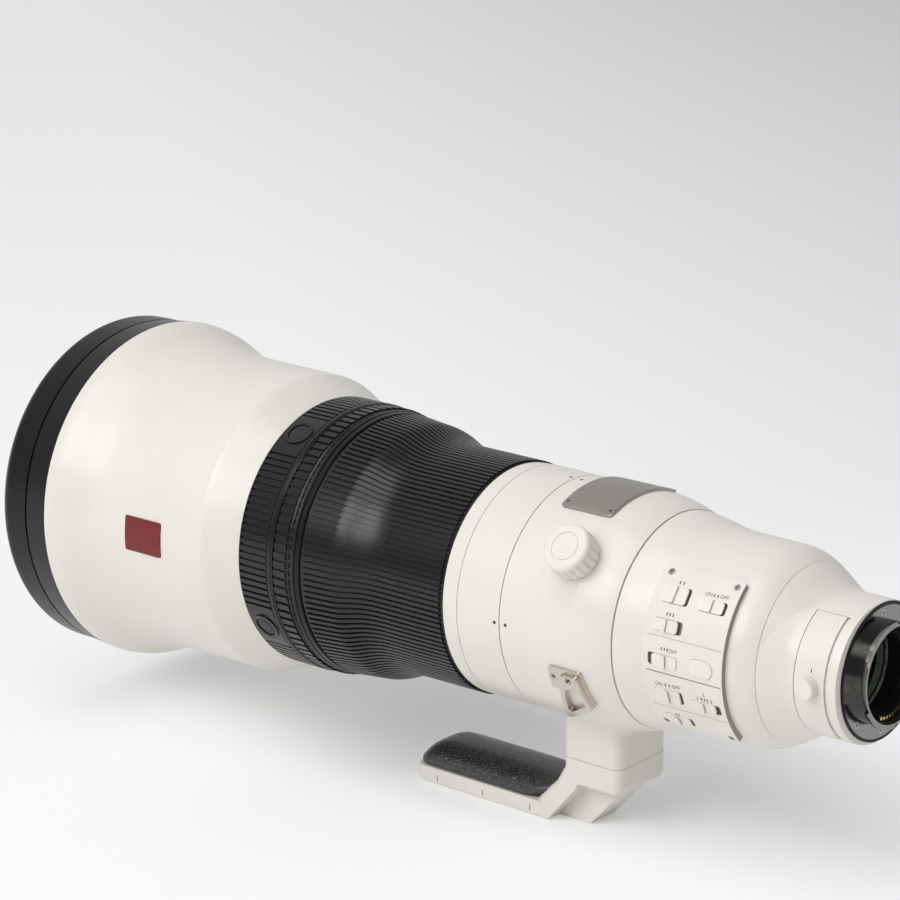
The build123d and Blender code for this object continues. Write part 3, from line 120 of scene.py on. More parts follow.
class LensSizes(bpy.types.PropertyGroup):
    """Sizes of the marks and of the foot's pad."""

    mark_width: length("Tick width", "Width of a printed tick", 0.55 * mm)
    mark_length: length("Tick length", "Length of a printed tick", 1.45 * mm)
    mark_rise: length("Mark rise", "How far a printed mark stands over the paint", 0.02 * mm)
    letter_height: length("Letter height", "Height of ON, OFF and the numbers", 1.75 * mm)
    line_width: length("Line width", "Width of the fine lines across the panel", 0.32 * mm)
    gap_reach: length("Gap reach", "How far the shade of a seam reaches to each side", 0.22 * mm)
    dot_size: length("Dot", "Diameter of the round index marks", 1.6 * mm)
    pad_crown: length("Pad crown", "How far the pad's top rises in its middle", 0.44 * mm)
    pad_cap: length("Pad swell", "The most that the leather may swell", 0.8 * mm)


class StageSettings(bpy.types.PropertyGroup):
    """Floor, lamps and camera."""

    floor_white: share("Floor", "Lightness of the floor near the lens", 0.98)
    # floor_far sets the painted shade far off; glow is painted light on the open floor, shadow_glow its
    # level in the painted shadow
    floor_far: share("Far floor", "Lightness of the floor far to the right", 0.38)
    glow: share("Glow", "How much of the open floor is white by itself", 0.55)
    shadow_glow: share("Shadow glow", "How much of the floor is white by itself in the lens's shadow", 0.20)
    sky: share("Sky", "Strength of the even light from the camera's side", 0.24)
    sweep: share("Sweep", "Strength of the light from the pale sweep behind the lens", 0.62)
    top_power: power("Top lamp", "Power of the large soft lamp above", 9)
    side_power: power("Side lamp", "Power of the soft lamp at the left", 37.5)
    right_power: power("Right lamp", "Power of the soft lamp at the right", 4)
    focal: bpy.props.FloatProperty(
        name="Focal length", description="Camera's focal length", unit="CAMERA", min=1, default=130.155
    )


class Wire:
    """A shader socket that Python's own operators work on."""

    def __init__(self, nodes, socket):
        self.nodes = nodes
        self.socket = socket

    def maths(self, operation, *values):
        return self.nodes.node("ShaderNodeMath", {"operation": operation}, values)

    def __add__(self, other):
        return self.maths("ADD", self, other)

    def __radd__(self, other):
        return self.maths("ADD", other, self)

    def __sub__(self, other):
        return self.maths("SUBTRACT", self, other)

    def __rsub__(self, other):
        return self.maths("SUBTRACT", other, self)

    def __mul__(self, other):
        return self.maths("MULTIPLY", self, other)

    def __rmul__(self, other):
        return self.maths("MULTIPLY", other, self)

    def __truediv__(self, other):
        return self.maths("DIVIDE", self, other)

    def above(self, other):
        return self.maths("GREATER_THAN", self, other)

    def below(self, other):
        return self.maths("LESS_THAN", self, other)

    def size(self):
        return self.maths("ABSOLUTE", self)

    def root(self):
        return self.maths("SQRT", self)

    def larger(self, other):
        return self.maths("MAXIMUM", self, other)

    def smooth(self, low, high):
        """0 under low, 1 over high, with a soft step between."""
        values = {"Value": self, "From Min": low, "From Max": high}
        return self.nodes.node("ShaderNodeMapRange", {"interpolation_type": "SMOOTHSTEP"}, values)


class Nodes:
    """One node tree, emptied first."""

    def __init__(self, tree):
        self.tree = tree
        tree.nodes.clear()

    def node(self, kind, settings=None, values=(), output=0):
        """Adds a node, sets it, fills its sockets and hands back one output."""
        made = self.tree.nodes.new(kind)
        for setting, value in (settings or {}).items():
            setattr(made, setting, value)
        pairs = values.items() if isinstance(values, dict) else enumerate(values)
        for key, value in pairs:
            if isinstance(value, Wire):
                self.tree.links.new(value.socket, made.inputs[key])
            else:
                made.inputs[key].default_value = value
        return Wire(self, made.outputs[output])

    def ray(self, kind):
        """1 for rays of one kind, such as Camera."""
        return self.node("ShaderNodeLightPath", output=f"Is {kind} Ray")


class Finish(Nodes):
    """The nodes of one material."""

    def __init__(self, name, **constants):
        self.material = bpy.data.materials.new(name)
        self.material.use_nodes = True
        super().__init__(self.material.node_tree)
        self.shader = self.tree.nodes.new("ShaderNodeBsdfPrincipled")
        self.output = self.tree.nodes.new("ShaderNodeOutputMaterial")
        self.tree.links.new(self.shader.outputs["BSDF"], self.output.inputs["Surface"])
        for socket, value in constants.items():
            self.shader.inputs[socket.replace("_", " ")].default_value = value

    def place(self):
        """The point on the piece, in metres."""
        return self.node("ShaderNodeTexCoord", output="Object")

    def axes(self):
        """The point's x, y and z as three values."""
        split = self.tree.nodes.new("ShaderNodeSeparateXYZ")
        self.tree.links.new(self.place().socket, split.inputs[0])
        return [Wire(self, out) for out in split.outputs]

    def polar(self):
        """Station along the axis, distance from it and height over it."""
        x, y, z = self.axes()
        return x, (y * y + z * z).root(), z

    def noise(self, grain, detail=2.0, roughness=0.5, stretch=(1, 1, 1)):
        """Soft noise whose spots are grain metres across."""
        where = self.node("ShaderNodeMapping", None, {"Vector": self.place(), "Scale": stretch})
        values = {"Vector": where, "Scale": 1 / grain, "Detail": detail, "Roughness": roughness}
        return self.node("ShaderNodeTexNoise", None, values)

    def cells(self, grain, feature="F1"):
        """Distance inside round cells that are grain metres across."""
        values = {"Vector": self.place(), "Scale": 1 / grain}
        return self.node("ShaderNodeTexVoronoi", {"feature": feature}, values, "Distance")

    def rings(self, grain, detail=3.0):
        """Fine turned lines: noise that changes with the distance from the axis only."""
        values = {"W": self.polar()[1], "Scale": 1 / grain, "Detail": detail}
        return self.node("ShaderNodeTexNoise", {"noise_dimensions": "1D"}, values)

    def tint(self, mask, base, top):
        """One colour where the mask is 0 and another where it is 1."""
        settings = {"data_type": "RGBA", "blend_type": "MIX"}
        return self.node("ShaderNodeMix", settings, {0: mask, 6: solid(base), 7: solid(top)}, 2)

    def bump(self, height, depth, under=None):
        """A relief that is depth metres high, over another one where it is given."""
        values = {"Distance": depth, "Height": height}
        if under is not None:
            values["Normal"] = under
        return self.node("ShaderNodeBump", None, values)

    def feed(self, **wires):
        """Links wires to the shader's sockets."""
        for socket, wire in wires.items():
            self.tree.links.new(wire.socket, self.shader.inputs[socket.replace("_", " ")])
        return self.material


def solid(shade):
    """A colour with its alpha, where it isn't a wire already."""
    return shade if isinstance(shade, Wire) else (*shade, 1.0)


def darker(shade, factor):
    """The same colour, darker or lighter by a factor."""
    return tuple(min(1.0, factor * part) for part in shade)


def dress(material, *names):
    """Gives CAD nodes their material."""
    for name in names:
        slots = lens_nodes[name].data.materials
        slots.clear()
        slots.append(material)


def only(piece):
    """Selects one piece alone, in object mode."""
    if bpy.context.mode != "OBJECT":
        bpy.ops.object.mode_set(mode="OBJECT")
    bpy.ops.object.select_all(action="DESELECT")
    piece.select_set(True)
    bpy.context.view_layer.objects.active = piece


def settle(piece):
    """Puts the piece's place into its mesh."""
    only(piece)
    bpy.ops.object.transform_apply(location=True, rotation=True, scale=True)


def put(piece, seat):
    """Moves a piece that was made at the origin to its seat."""
    piece.matrix_world = seat
    settle(piece)


def joined(pieces, name):
    """Joins pieces into one."""
    only(pieces[0])
    for piece in pieces[1:]:
        piece.select_set(True)
    bpy.ops.object.join()
    pieces[0].name = name
    pieces[0].data.name = name
    return pieces[0]


def mend(piece):
    """Merges doubles and points the faces outwards."""
    only(piece)
    bpy.ops.object.mode_set(mode="EDIT")
    bpy.ops.mesh.select_all(action="SELECT")
    bpy.ops.mesh.remove_doubles(threshold=1e-7)
    bpy.ops.mesh.normals_make_consistent(inside=False)
    bpy.ops.object.mode_set(mode="OBJECT")


def finish_piece(piece, material, body):
    """Material, body and slot of a new piece."""
    piece.data.materials.clear()
    piece.data.materials.append(material)
    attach(piece, body)


def seat_at(point, out):
    """A place on a face, in mm: x runs rearwards and z outwards."""
    along = Vector((1, 0, 0))
    out = Vector(out)
    seat = Matrix((along, out.cross(along), out)).transposed().to_4x4()
    seat.translation = Vector(point) * mm
    return seat


def seat_on(radius, station, angle, shift=0):
    """A place on a round surface about the axis or beside it, in mm and degrees."""
    turn = math.radians(angle)
    out = Vector((0, math.cos(turn), math.sin(turn)))
    return seat_at((station, radius * out.y + shift, radius * out.z), out)


def stamp(width, height, rise, corner, seat, steps=2):
    """A printed mark: a thin plate with rounded corners, half sunk into the paint. Sizes in metres."""
    bpy.ops.mesh.primitive_plane_add(size=1, location=(0, 0, 0))
    mark = bpy.context.object
    mark.scale = (width, height, 1)
    settle(mark)
    bpy.ops.object.mode_set(mode="EDIT")
    bpy.ops.mesh.select_mode(type="VERT")
    bpy.ops.mesh.select_all(action="SELECT")
    bpy.ops.mesh.bevel(offset=corner, segments=steps, affect="VERTICES")
    bpy.ops.mesh.select_mode(type="FACE")
    bpy.ops.mesh.select_all(action="SELECT")
    bpy.ops.transform.translate(value=(0, 0, -rise))
    bpy.ops.mesh.extrude_region_move(TRANSFORM_OT_translate={"value": (0, 0, 2 * rise)})
    bpy.ops.object.mode_set(mode="OBJECT")
    mend(mark)
    put(mark, seat)
    return mark


def lettering(text, height, rise, seat):
    """A short printed word or number as a mesh, half sunk into the paint. Sizes in metres."""
    bpy.ops.object.text_add(location=(0, 0, 0))
    word = bpy.context.object
    word.data.body = text
    word.data.size = height * size_per_capital
    word.data.align_x = "CENTER"
    word.data.align_y = "CENTER"
    word.data.extrude = rise
    word.data.resolution_u = 3
    only(word)
    bpy.ops.object.convert(target="MESH")
    word = bpy.context.object
    put(word, seat)
    return word


class LENS_OT_stage(bpy.types.Operator):
    """Floor, lamps and the camera of the photograph"""

    bl_idname = "lens.stage"
    bl_label = "Stage"

    camera_right = (0.75520904, 0.65532284, -0.0145355)
    camera_up = (-0.17382284, 0.22160022, 0.95952017)
    camera_back = (0.63201655, -0.72211171, 0.28126457)
    camera_place = (0.687357, -1.050270, 0.461036)
    floor_radius = 9
    floor_drop = 0.0002
    picture_depth = (-0.659, 0.752)  # the way over the floor into the picture
    picture_right = (0.755, 0.655)  # the way over the floor to the picture's right
    dark_back = 0.13  # where the painted shade on the floor starts, this far into the picture from the mount
    dark_right = -0.17  # and this far to the right of it
    fall_back = 0.10  # how fast it darkens into the picture, by the metre
    fall_right = 0.5  # and to the right
    fall_start = 0.02
    # middle and half sizes of the painted shadow under the lens, where the floor's glow is weaker, in metres
    shadow_middle = (-0.22, 0.06)
    shadow_reach = (0.30, 0.12)
    sweep_way = (-0.66, 0.75, 0.1)
    backdrop = (0.62, 0.62, 0.62, 1.0)

    def execute(self, context):
        settings = context.scene.lens_stage
        self.add_camera(context, settings)
        self.add_floor(context, settings)
        self.add_lamps(settings)
        self.add_sky(context, settings)
        context.scene.view_settings.view_transform = "Standard"
        return {"FINISHED"}

    def add_camera(self, context, settings):
        view = Matrix((self.camera_right, self.camera_up, self.camera_back)).transposed().to_4x4()
        view.translation = Vector(self.camera_place)
        bpy.ops.object.camera_add()
        camera = context.object
        camera.name = "photo_camera"
        camera.matrix_world = view
        camera.data.lens = settings.focal
        camera.data.sensor_width = 36
        camera.data.sensor_fit = "HORIZONTAL"
        camera.data.clip_start = 0.01
        camera.data.clip_end = 50
        context.scene.camera = camera

    def add_floor(self, context, settings):
        """White paper that painted shade darkens far to the right; it glows as painted light, less in a
        painted shadow under the lens.
        """
        place = (-0.2, 0, cad_box[0][2] - self.floor_drop)
        bpy.ops.mesh.primitive_circle_add(
            vertices=96, radius=self.floor_radius, fill_type="NGON", location=place
        )
        floor = context.object
        floor.name = "floor"
        settle(floor)
        finish = Finish("floor_paper", Roughness=0.75, Specular_IOR_Level=0.2)
        x, y = finish.axes()[:2]
        behind = x * self.picture_depth[0] + y * self.picture_depth[1] - self.dark_back
        rightwards = x * self.picture_right[0] + y * self.picture_right[1] - self.dark_right
        ramp = {"Value": self.fall_back * behind + self.fall_right * rightwards - self.fall_start}
        # painted shade: the floor's colour darkens into the picture and to the right, standing in for the
        # lamps' falloff
        painted_falloff = finish.node("ShaderNodeMapRange", None, ramp) * behind.smooth(0.1, 0.5)
        near = (settings.floor_white,) * 3
        far = (settings.floor_far,) * 3
        shade = finish.tint(painted_falloff, near, far)
        grain = finish.noise(0.9 * mm, 3)
        finish.feed(Base_Color=shade, Normal=finish.bump(grain, 0.02 * mm))
        # painted light: the floor glows in its own colour for camera, glossy and transmission rays
        glow = finish.node("ShaderNodeEmission", None, {"Color": shade})
        # painted shadow: the glow is weaker in a soft ellipse under the lens, where its shadow falls
        beside = (x - self.shadow_middle[0]) / self.shadow_reach[0]
        beyond = (y - self.shadow_middle[1]) / self.shadow_reach[1]
        clear = (beside * beside + beyond * beyond).smooth(0.2, 0.9)
        white = settings.shadow_glow + (settings.glow - settings.shadow_glow) * clear
        seen = finish.ray("Camera").larger(finish.ray("Glossy")).larger(finish.ray("Transmission"))
        paper = Wire(finish, finish.shader.outputs["BSDF"])
        mixed = finish.node("ShaderNodeMixShader", None, (seen * white, paper, glow))
        finish.tree.links.new(mixed.socket, finish.output.inputs["Surface"])
        floor.data.materials.append(finish.material)

    def add_lamps(self, settings):
        self.add_lamp("top_lamp", (-0.30, -0.60, 1.65), -0.15, (1.3, 0.9), settings.top_power)
        self.add_lamp("left_lamp", (-0.55, -2.20, 1.65), -0.2, (1.9, 1.5), settings.side_power)
        self.add_lamp("right_lamp", (1.30, -0.90, 1.50), -0.1, (0.9, 0.9), settings.right_power)

    def add_lamp(self, name, place, station, size, energy):
        """A soft lamp that points at a station of the lens's axis."""
        bpy.ops.object.light_add(type="AREA", location=place)
        lamp = bpy.context.object
        lamp.name = name
        lamp.data.shape = "RECTANGLE"
        lamp.data.size, lamp.data.size_y = size
        lamp.data.energy = energy
        lamp.rotation_euler = (Vector((station, 0, 0)) - Vector(place)).to_track_quat("-Z", "Y").to_euler()

    def add_sky(self, context, settings):
        """Even light, stronger from the pale sweep behind the lens, and a plain grey where it is seen."""
        world = bpy.data.worlds.new("studio")
        context.scene.world = world
        world.use_nodes = True
        sky = Nodes(world.node_tree)
        towards = sky.node("ShaderNodeTexCoord", output="Generated")
        dot = {"operation": "DOT_PRODUCT"}
        facing = sky.node("ShaderNodeVectorMath", dot, (towards, self.sweep_way), "Value")
        level = settings.sky + (settings.sweep - settings.sky) * facing.smooth(-0.3, 0.7)
        light = sky.node("ShaderNodeBackground", None, ((1.0, 1.0, 1.0, 1.0), level))
        grey = sky.node("ShaderNodeBackground", None, (self.backdrop, 1.0))
        seen = sky.ray("Camera").larger(sky.ray("Transmission"))
        mixed = sky.node("ShaderNodeMixShader", None, (seen, light, grey))
        output = world.node_tree.nodes.new("ShaderNodeOutputWorld")
        world.node_tree.links.new(mixed.socket, output.inputs["Surface"])


class LENS_OT_enamel(bpy.types.Operator):
    """Warm off-white enamel on the barrels, the collar and the foot"""

    bl_idname = "lens.enamel"
    bl_label = "White enamel"

    neck_seam = -69.3  # height of the seam between the neck and the foot, in mm as all sizes here
    cover_seam = -20.85  # station of the seam in the filter holder's cover
    pocket_floor = 28.0  # the filter's pocket is black within this radius
    panel_face = 45.75  # the panel's edge and slots are shaded within this radius
    ridge_walls = (46.68, 47.05)  # the slider's ridges are shaded between these radii
    flare_radius = 80.7  # middle of the front barrel's wall at its front end
    flare_fall = 10.1  # how far that middle falls between the front and the waist
    flare_front = -413.6
    flare_waist = -380.6
    flare_end = -325.0  # the black lining of the flare ends here

    def execute(self, context):
        colours = context.scene.lens_colours
        white = colours.enamel
        dark = colours.inner_black
        edge = colours.wall_shade
        dress(self.paint("white_enamel", white), "collar_seat", "rear_barrel", "tripod_collar")
        dress(self.paint("barrel_enamel", white, seam="flare", seam_shade=dark), "front_barrel")
        dress(self.paint("housing_enamel", white, seam="pocket", seam_shade=dark), "filter_housing")
        dress(self.paint("foot_enamel", white, seam="neck"), "tripod_foot")
        dress(self.paint("cover_enamel", white, seam="cover"), "filter_holder")
        dress(self.paint("panel_enamel", white, 0.36, 0.30, "face", edge), "switch_panel")
        plastic = colours.knob_white
        dress(self.paint("white_plastic", plastic, 0.40, 0.22), "lock_knob", "filter_knob")
        dress(self.paint("button_plastic", plastic, 0.40, 0.22, "face"), "set_button")
        dress(
            self.paint("slider_plastic", plastic, 0.40, 0.22, "slider"),
            "af_mf_switch", "full_time_focus_switch", "range_limit_switch",
            "function_switch", "stabiliser_switch", "mode_switch", "beep_switch",
        )
        return {"FINISHED"}

    def paint(self, name, shade, roughness=0.33, grain=0.35, seam=None, seam_shade=None):
        """Sprayed enamel: a fine orange peel, slow drift of tone and a little dust in the gloss."""
        finish = Finish(name, Specular_IOR_Level=0.5, Coat_Roughness=0.12)
        drift = finish.noise(38 * mm, 2)
        speckle = finish.noise(0.5 * mm, 2, 0.7)
        cloud = finish.noise(6 * mm, 3, 0.6)
        tone = (drift * 0.65 + cloud * 0.35).smooth(0.3, 0.7)
        base = finish.tint(tone, darker(shade, 0.972), darker(shade, 1.015))
        # Painted shade at a seam, on the panel's edge and slots and on the sliders' ridges; black lining in
        # the filter's pocket and inside the flare.
        if seam:
            gap = seam_shade or bpy.context.scene.lens_colours.gap_shade
            base = finish.tint(self.seam_mask(finish, seam), base, gap)
        peel = finish.noise(0.85 * mm, 1.5, 0.45)
        fine = finish.bump(speckle, 0.0035 * mm)
        skin = finish.bump(peel, grain * 0.03 * mm, under=fine)
        gloss = roughness - 0.04 + 0.08 * speckle + 0.05 * cloud
        return finish.feed(Base_Color=base, Roughness=gloss, Coat_Weight=0.12 + 0.1 * drift, Normal=skin)

    def seam_mask(self, finish, seam):
        """1 where another colour goes: painted shade at a seam, in a slot, on the panel's edge or a ridge,
        and black lining in the pocket and the flare.
        """
        reach = bpy.context.scene.lens_sizes.gap_reach
        station, radius, height = finish.polar()
        if seam == "neck":
            return (height - self.neck_seam * mm).size().below(reach)
        if seam == "cover":
            return (station - self.cover_seam * mm).size().below(reach)
        if seam == "flare":
            fallen = station.smooth(self.flare_front * mm, self.flare_waist * mm) * (self.flare_fall * mm)
            return radius.below(self.flare_radius * mm - fallen) * station.below(self.flare_end * mm)
        if seam == "pocket":
            return radius.below(self.pocket_floor * mm)
        deep = radius.below(self.panel_face * mm)
        if seam == "face":
            return deep
        foot, top = self.ridge_walls
        return deep.larger(radius.above(foot * mm) * radius.below(top * mm))


class LENS_OT_black(bpy.types.Operator):
    """Satin black paint, black plastic and the matte black inside"""

    bl_idname = "lens.black"
    bl_label = "Black finishes"

    def execute(self, context):
        colours = context.scene.lens_colours
        satin = self.satin("satin_black", colours.black_paint, 0.29)
        dress(satin, "front_ring", "front_band", "spacer_ring", "focus_ring_core", "retaining_ring")
        flock = self.flock("inner_black", colours.inner_black)
        dress(
            flock,
            "front_cell", "rear_baffle", "iris_housing", "stabiliser_housing", "main_tube", "focus_carriage",
        )
        dress(self.satin("gasket_black", darker(colours.black_paint, 0.8), 0.5), "mount_gasket")
        dress(
            self.satin("button_black", darker(colours.black_paint, 3.2), 0.34),
            "focus_hold_button_1", "focus_hold_button_2", "focus_hold_button_3", "focus_hold_button_4",
        )
        moulded = self.satin("moulded_black", darker(colours.black_paint, 1.5), 0.48)
        dress(moulded, "contact_block", "stabiliser_yaw_frame", "stabiliser_cell")
        return {"FINISHED"}

    def satin(self, name, shade, roughness):
        """Satin paint with a fine powder grain."""
        finish = Finish(name, Specular_IOR_Level=0.24)
        powder = finish.noise(0.32 * mm, 3, 0.65)
        drift = finish.noise(22 * mm, 3)
        base = finish.tint(drift, shade, darker(shade, 1.7))
        gloss = roughness - 0.07 + 0.1 * powder + 0.06 * drift
        return finish.feed(Base_Color=base, Roughness=gloss, Normal=finish.bump(powder, 0.006 * mm))

    def flock(self, name, shade):
        """Matte black with the faint turned lines of a machined part."""
        finish = Finish(name, Specular_IOR_Level=0.25)
        powder = finish.noise(0.25 * mm, 4, 0.7)
        turned = finish.rings(0.35 * mm)
        base = finish.tint(powder, shade, darker(shade, 2.2))
        relief = finish.bump(turned, 0.006 * mm, under=finish.bump(powder, 0.01 * mm))
        return finish.feed(Base_Color=base, Roughness=0.62 + 0.2 * powder, Normal=relief)


class LENS_OT_rubber(bpy.types.Operator):
    """Ribbed rubber of the turning rings"""

    bl_idname = "lens.rubber"
    bl_label = "Ribbed rubber"

    dust_shade = (0.16, 0.155, 0.145)

    def execute(self, context):
        colours = context.scene.lens_colours
        dress(self.rubber(colours.grip_rubber), "focus_grip", "function_ring", "button_ring")
        return {"FINISHED"}

    def rubber(self, shade):
        """Moulded rubber: a fine grain, paler where a little dust lies."""
        finish = Finish("rib_rubber", Specular_IOR_Level=0.46)
        grain = finish.noise(0.3 * mm, 3, 0.7)
        smear = finish.noise(14 * mm, 3, 0.55)
        dust = finish.noise(1.6 * mm, 4, 0.7).smooth(0.55, 0.8) * smear.smooth(0.4, 0.75)
        clean = finish.tint(smear, shade, darker(shade, 1.35))
        base = finish.tint(dust * 0.22, clean, self.dust_shade)
        gloss = 0.22 + 0.10 * grain + 0.12 * dust
        return finish.feed(Base_Color=base, Roughness=gloss, Normal=finish.bump(grain, 0.010 * mm))


class LENS_OT_metal(bpy.types.Operator):
    """Steel mount, screws, brackets, plate, rods and gilt pins"""

    bl_idname = "lens.metal"
    bl_label = "Metals"

    blade_shade = (0.05, 0.05, 0.055)

    def execute(self, context):
        colours = context.scene.lens_colours
        # The mount's steel is 0.62 of the steel colour: painted shade for the dark surroundings that it
        # reflects.
        dress(self.turned("mount_steel", darker(colours.steel, 0.62), 0.13), "mount_flange")
        dress(
            self.brushed("screw_steel", darker(colours.steel, 1.1), 0.26),
            "mount_screws", "foot_screws", "panel_screws", "collar_screws", "guide_rods",
        )
        dress(self.brushed("bracket_nickel", colours.bracket_metal, 0.24), "strap_lugs")
        dress(self.brushed("plate_gunmetal", colours.plate_metal, 0.38), "name_plate")
        dress(self.brushed("magnet_nickel", colours.steel, 0.25), "focus_magnets")
        dress(self.brushed("blade_steel", self.blade_shade, 0.4), "iris_blades")
        dress(self.brushed("pin_gilt", colours.gilt, 0.2), "contact_pins")
        return {"FINISHED"}

    def turned(self, name, shade, roughness):
        """Turned steel: very fine rings about the axis, and a few handling marks."""
        finish = Finish(name, Metallic=1.0)
        lines = finish.rings(0.16 * mm, 4)
        smear = finish.noise(5 * mm, 3, 0.6)
        rub = finish.noise(0.4 * mm, 3, 0.6, stretch=(1, 1, 0.12)).smooth(0.6, 0.72)
        base = finish.tint(smear, darker(shade, 0.88), shade)
        gloss = roughness - 0.05 + 0.1 * smear + 0.14 * rub
        return finish.feed(Base_Color=base, Roughness=gloss, Normal=finish.bump(lines, 0.004 * mm))

    def brushed(self, name, shade, roughness):
        """Brushed metal: fine lines along the lens and a slow drift in the gloss."""
        finish = Finish(name, Metallic=1.0)
        lines = finish.noise(0.22 * mm, 3, 0.6, stretch=(0.08, 1, 1))
        smear = finish.noise(4 * mm, 3, 0.6)
        base = finish.tint(smear, darker(shade, 0.85), darker(shade, 1.06))
        gloss = roughness - 0.06 + 0.08 * lines + 0.08 * smear
        return finish.feed(Base_Color=base, Roughness=gloss, Normal=finish.bump(lines, 0.005 * mm))


class LENS_OT_glass(bpy.types.Operator):
    """Coated lens elements and the filter's glass"""

    bl_idname = "lens.glass"
    bl_label = "Coated glass"

    clear_glass = (0.985, 0.995, 0.99)
    dust_shade = (0.85, 0.85, 0.83)

    def execute(self, context):
        dress(
            self.coated(context.scene.lens_colours.glass_tint),
            "front_element", "second_element", "third_element",
            "focus_element", "stabiliser_element", "filter_glass",
        )
        return {"FINISHED"}

    def coated(self, shade):
        """Optical glass whose coating turns reflections faintly green, with a breath of dust."""
        finish = Finish(
            "coated_glass", IOR=1.52, Transmission_Weight=1.0, Coat_Weight=0.35, Coat_IOR=1.6,
            Coat_Tint=(*shade, 1.0), Coat_Roughness=0.01,
        )
        dust = finish.noise(1.2 * mm, 5, 0.75).smooth(0.70, 0.82)
        base = finish.tint(dust * 0.05, self.clear_glass, self.dust_shade)
        return finish.feed(Base_Color=base, Roughness=0.004 + 0.03 * dust)


class LENS_OT_badge(bpy.types.Operator):
    """Bare red tile on the barrel"""

    bl_idname = "lens.badge"
    bl_label = "Red tile"

    def execute(self, context):
        shade = context.scene.lens_colours.badge_red
        finish = Finish("badge_enamel", Specular_IOR_Level=0.35, Coat_Roughness=0.08)
        flake = finish.cells(0.09 * mm).smooth(0.1, 0.5)
        pool = finish.noise(5 * mm, 2)
        base = finish.tint(flake * 0.4 + pool * 0.4, darker(shade, 0.7), darker(shade, 1.25))
        relief = finish.bump(pool, 0.03 * mm)
        gloss = 0.30 + 0.08 * flake
        coat = 0.15 + 0.15 * pool
        dress(finish.feed(Base_Color=base, Roughness=gloss, Coat_Weight=coat, Normal=relief), "red_badge")
        return {"FINISHED"}


class LENS_OT_board(bpy.types.Operator):
    """Circuit board with its tracks"""

    bl_idname = "lens.board"
    bl_label = "Circuit board"

    solder_shade = (0.72, 0.66, 0.5)

    def execute(self, context):
        shade = context.scene.lens_colours.board_green
        finish = Finish("board_mask", Specular_IOR_Level=0.5)
        tracks = finish.cells(2.6 * mm, "DISTANCE_TO_EDGE").below(0.07)
        pads = finish.cells(3.4 * mm).below(0.12)
        base = finish.tint(tracks, shade, darker(shade, 2.2))
        base = finish.tint(pads, base, self.solder_shade)
        relief = finish.bump(tracks, 0.03 * mm)
        gloss = 0.32 - 0.1 * tracks
        tin = pads * 0.9
        dress(finish.feed(Base_Color=base, Metallic=tin, Roughness=gloss, Normal=relief), "circuit_board")
        return {"FINISHED"}


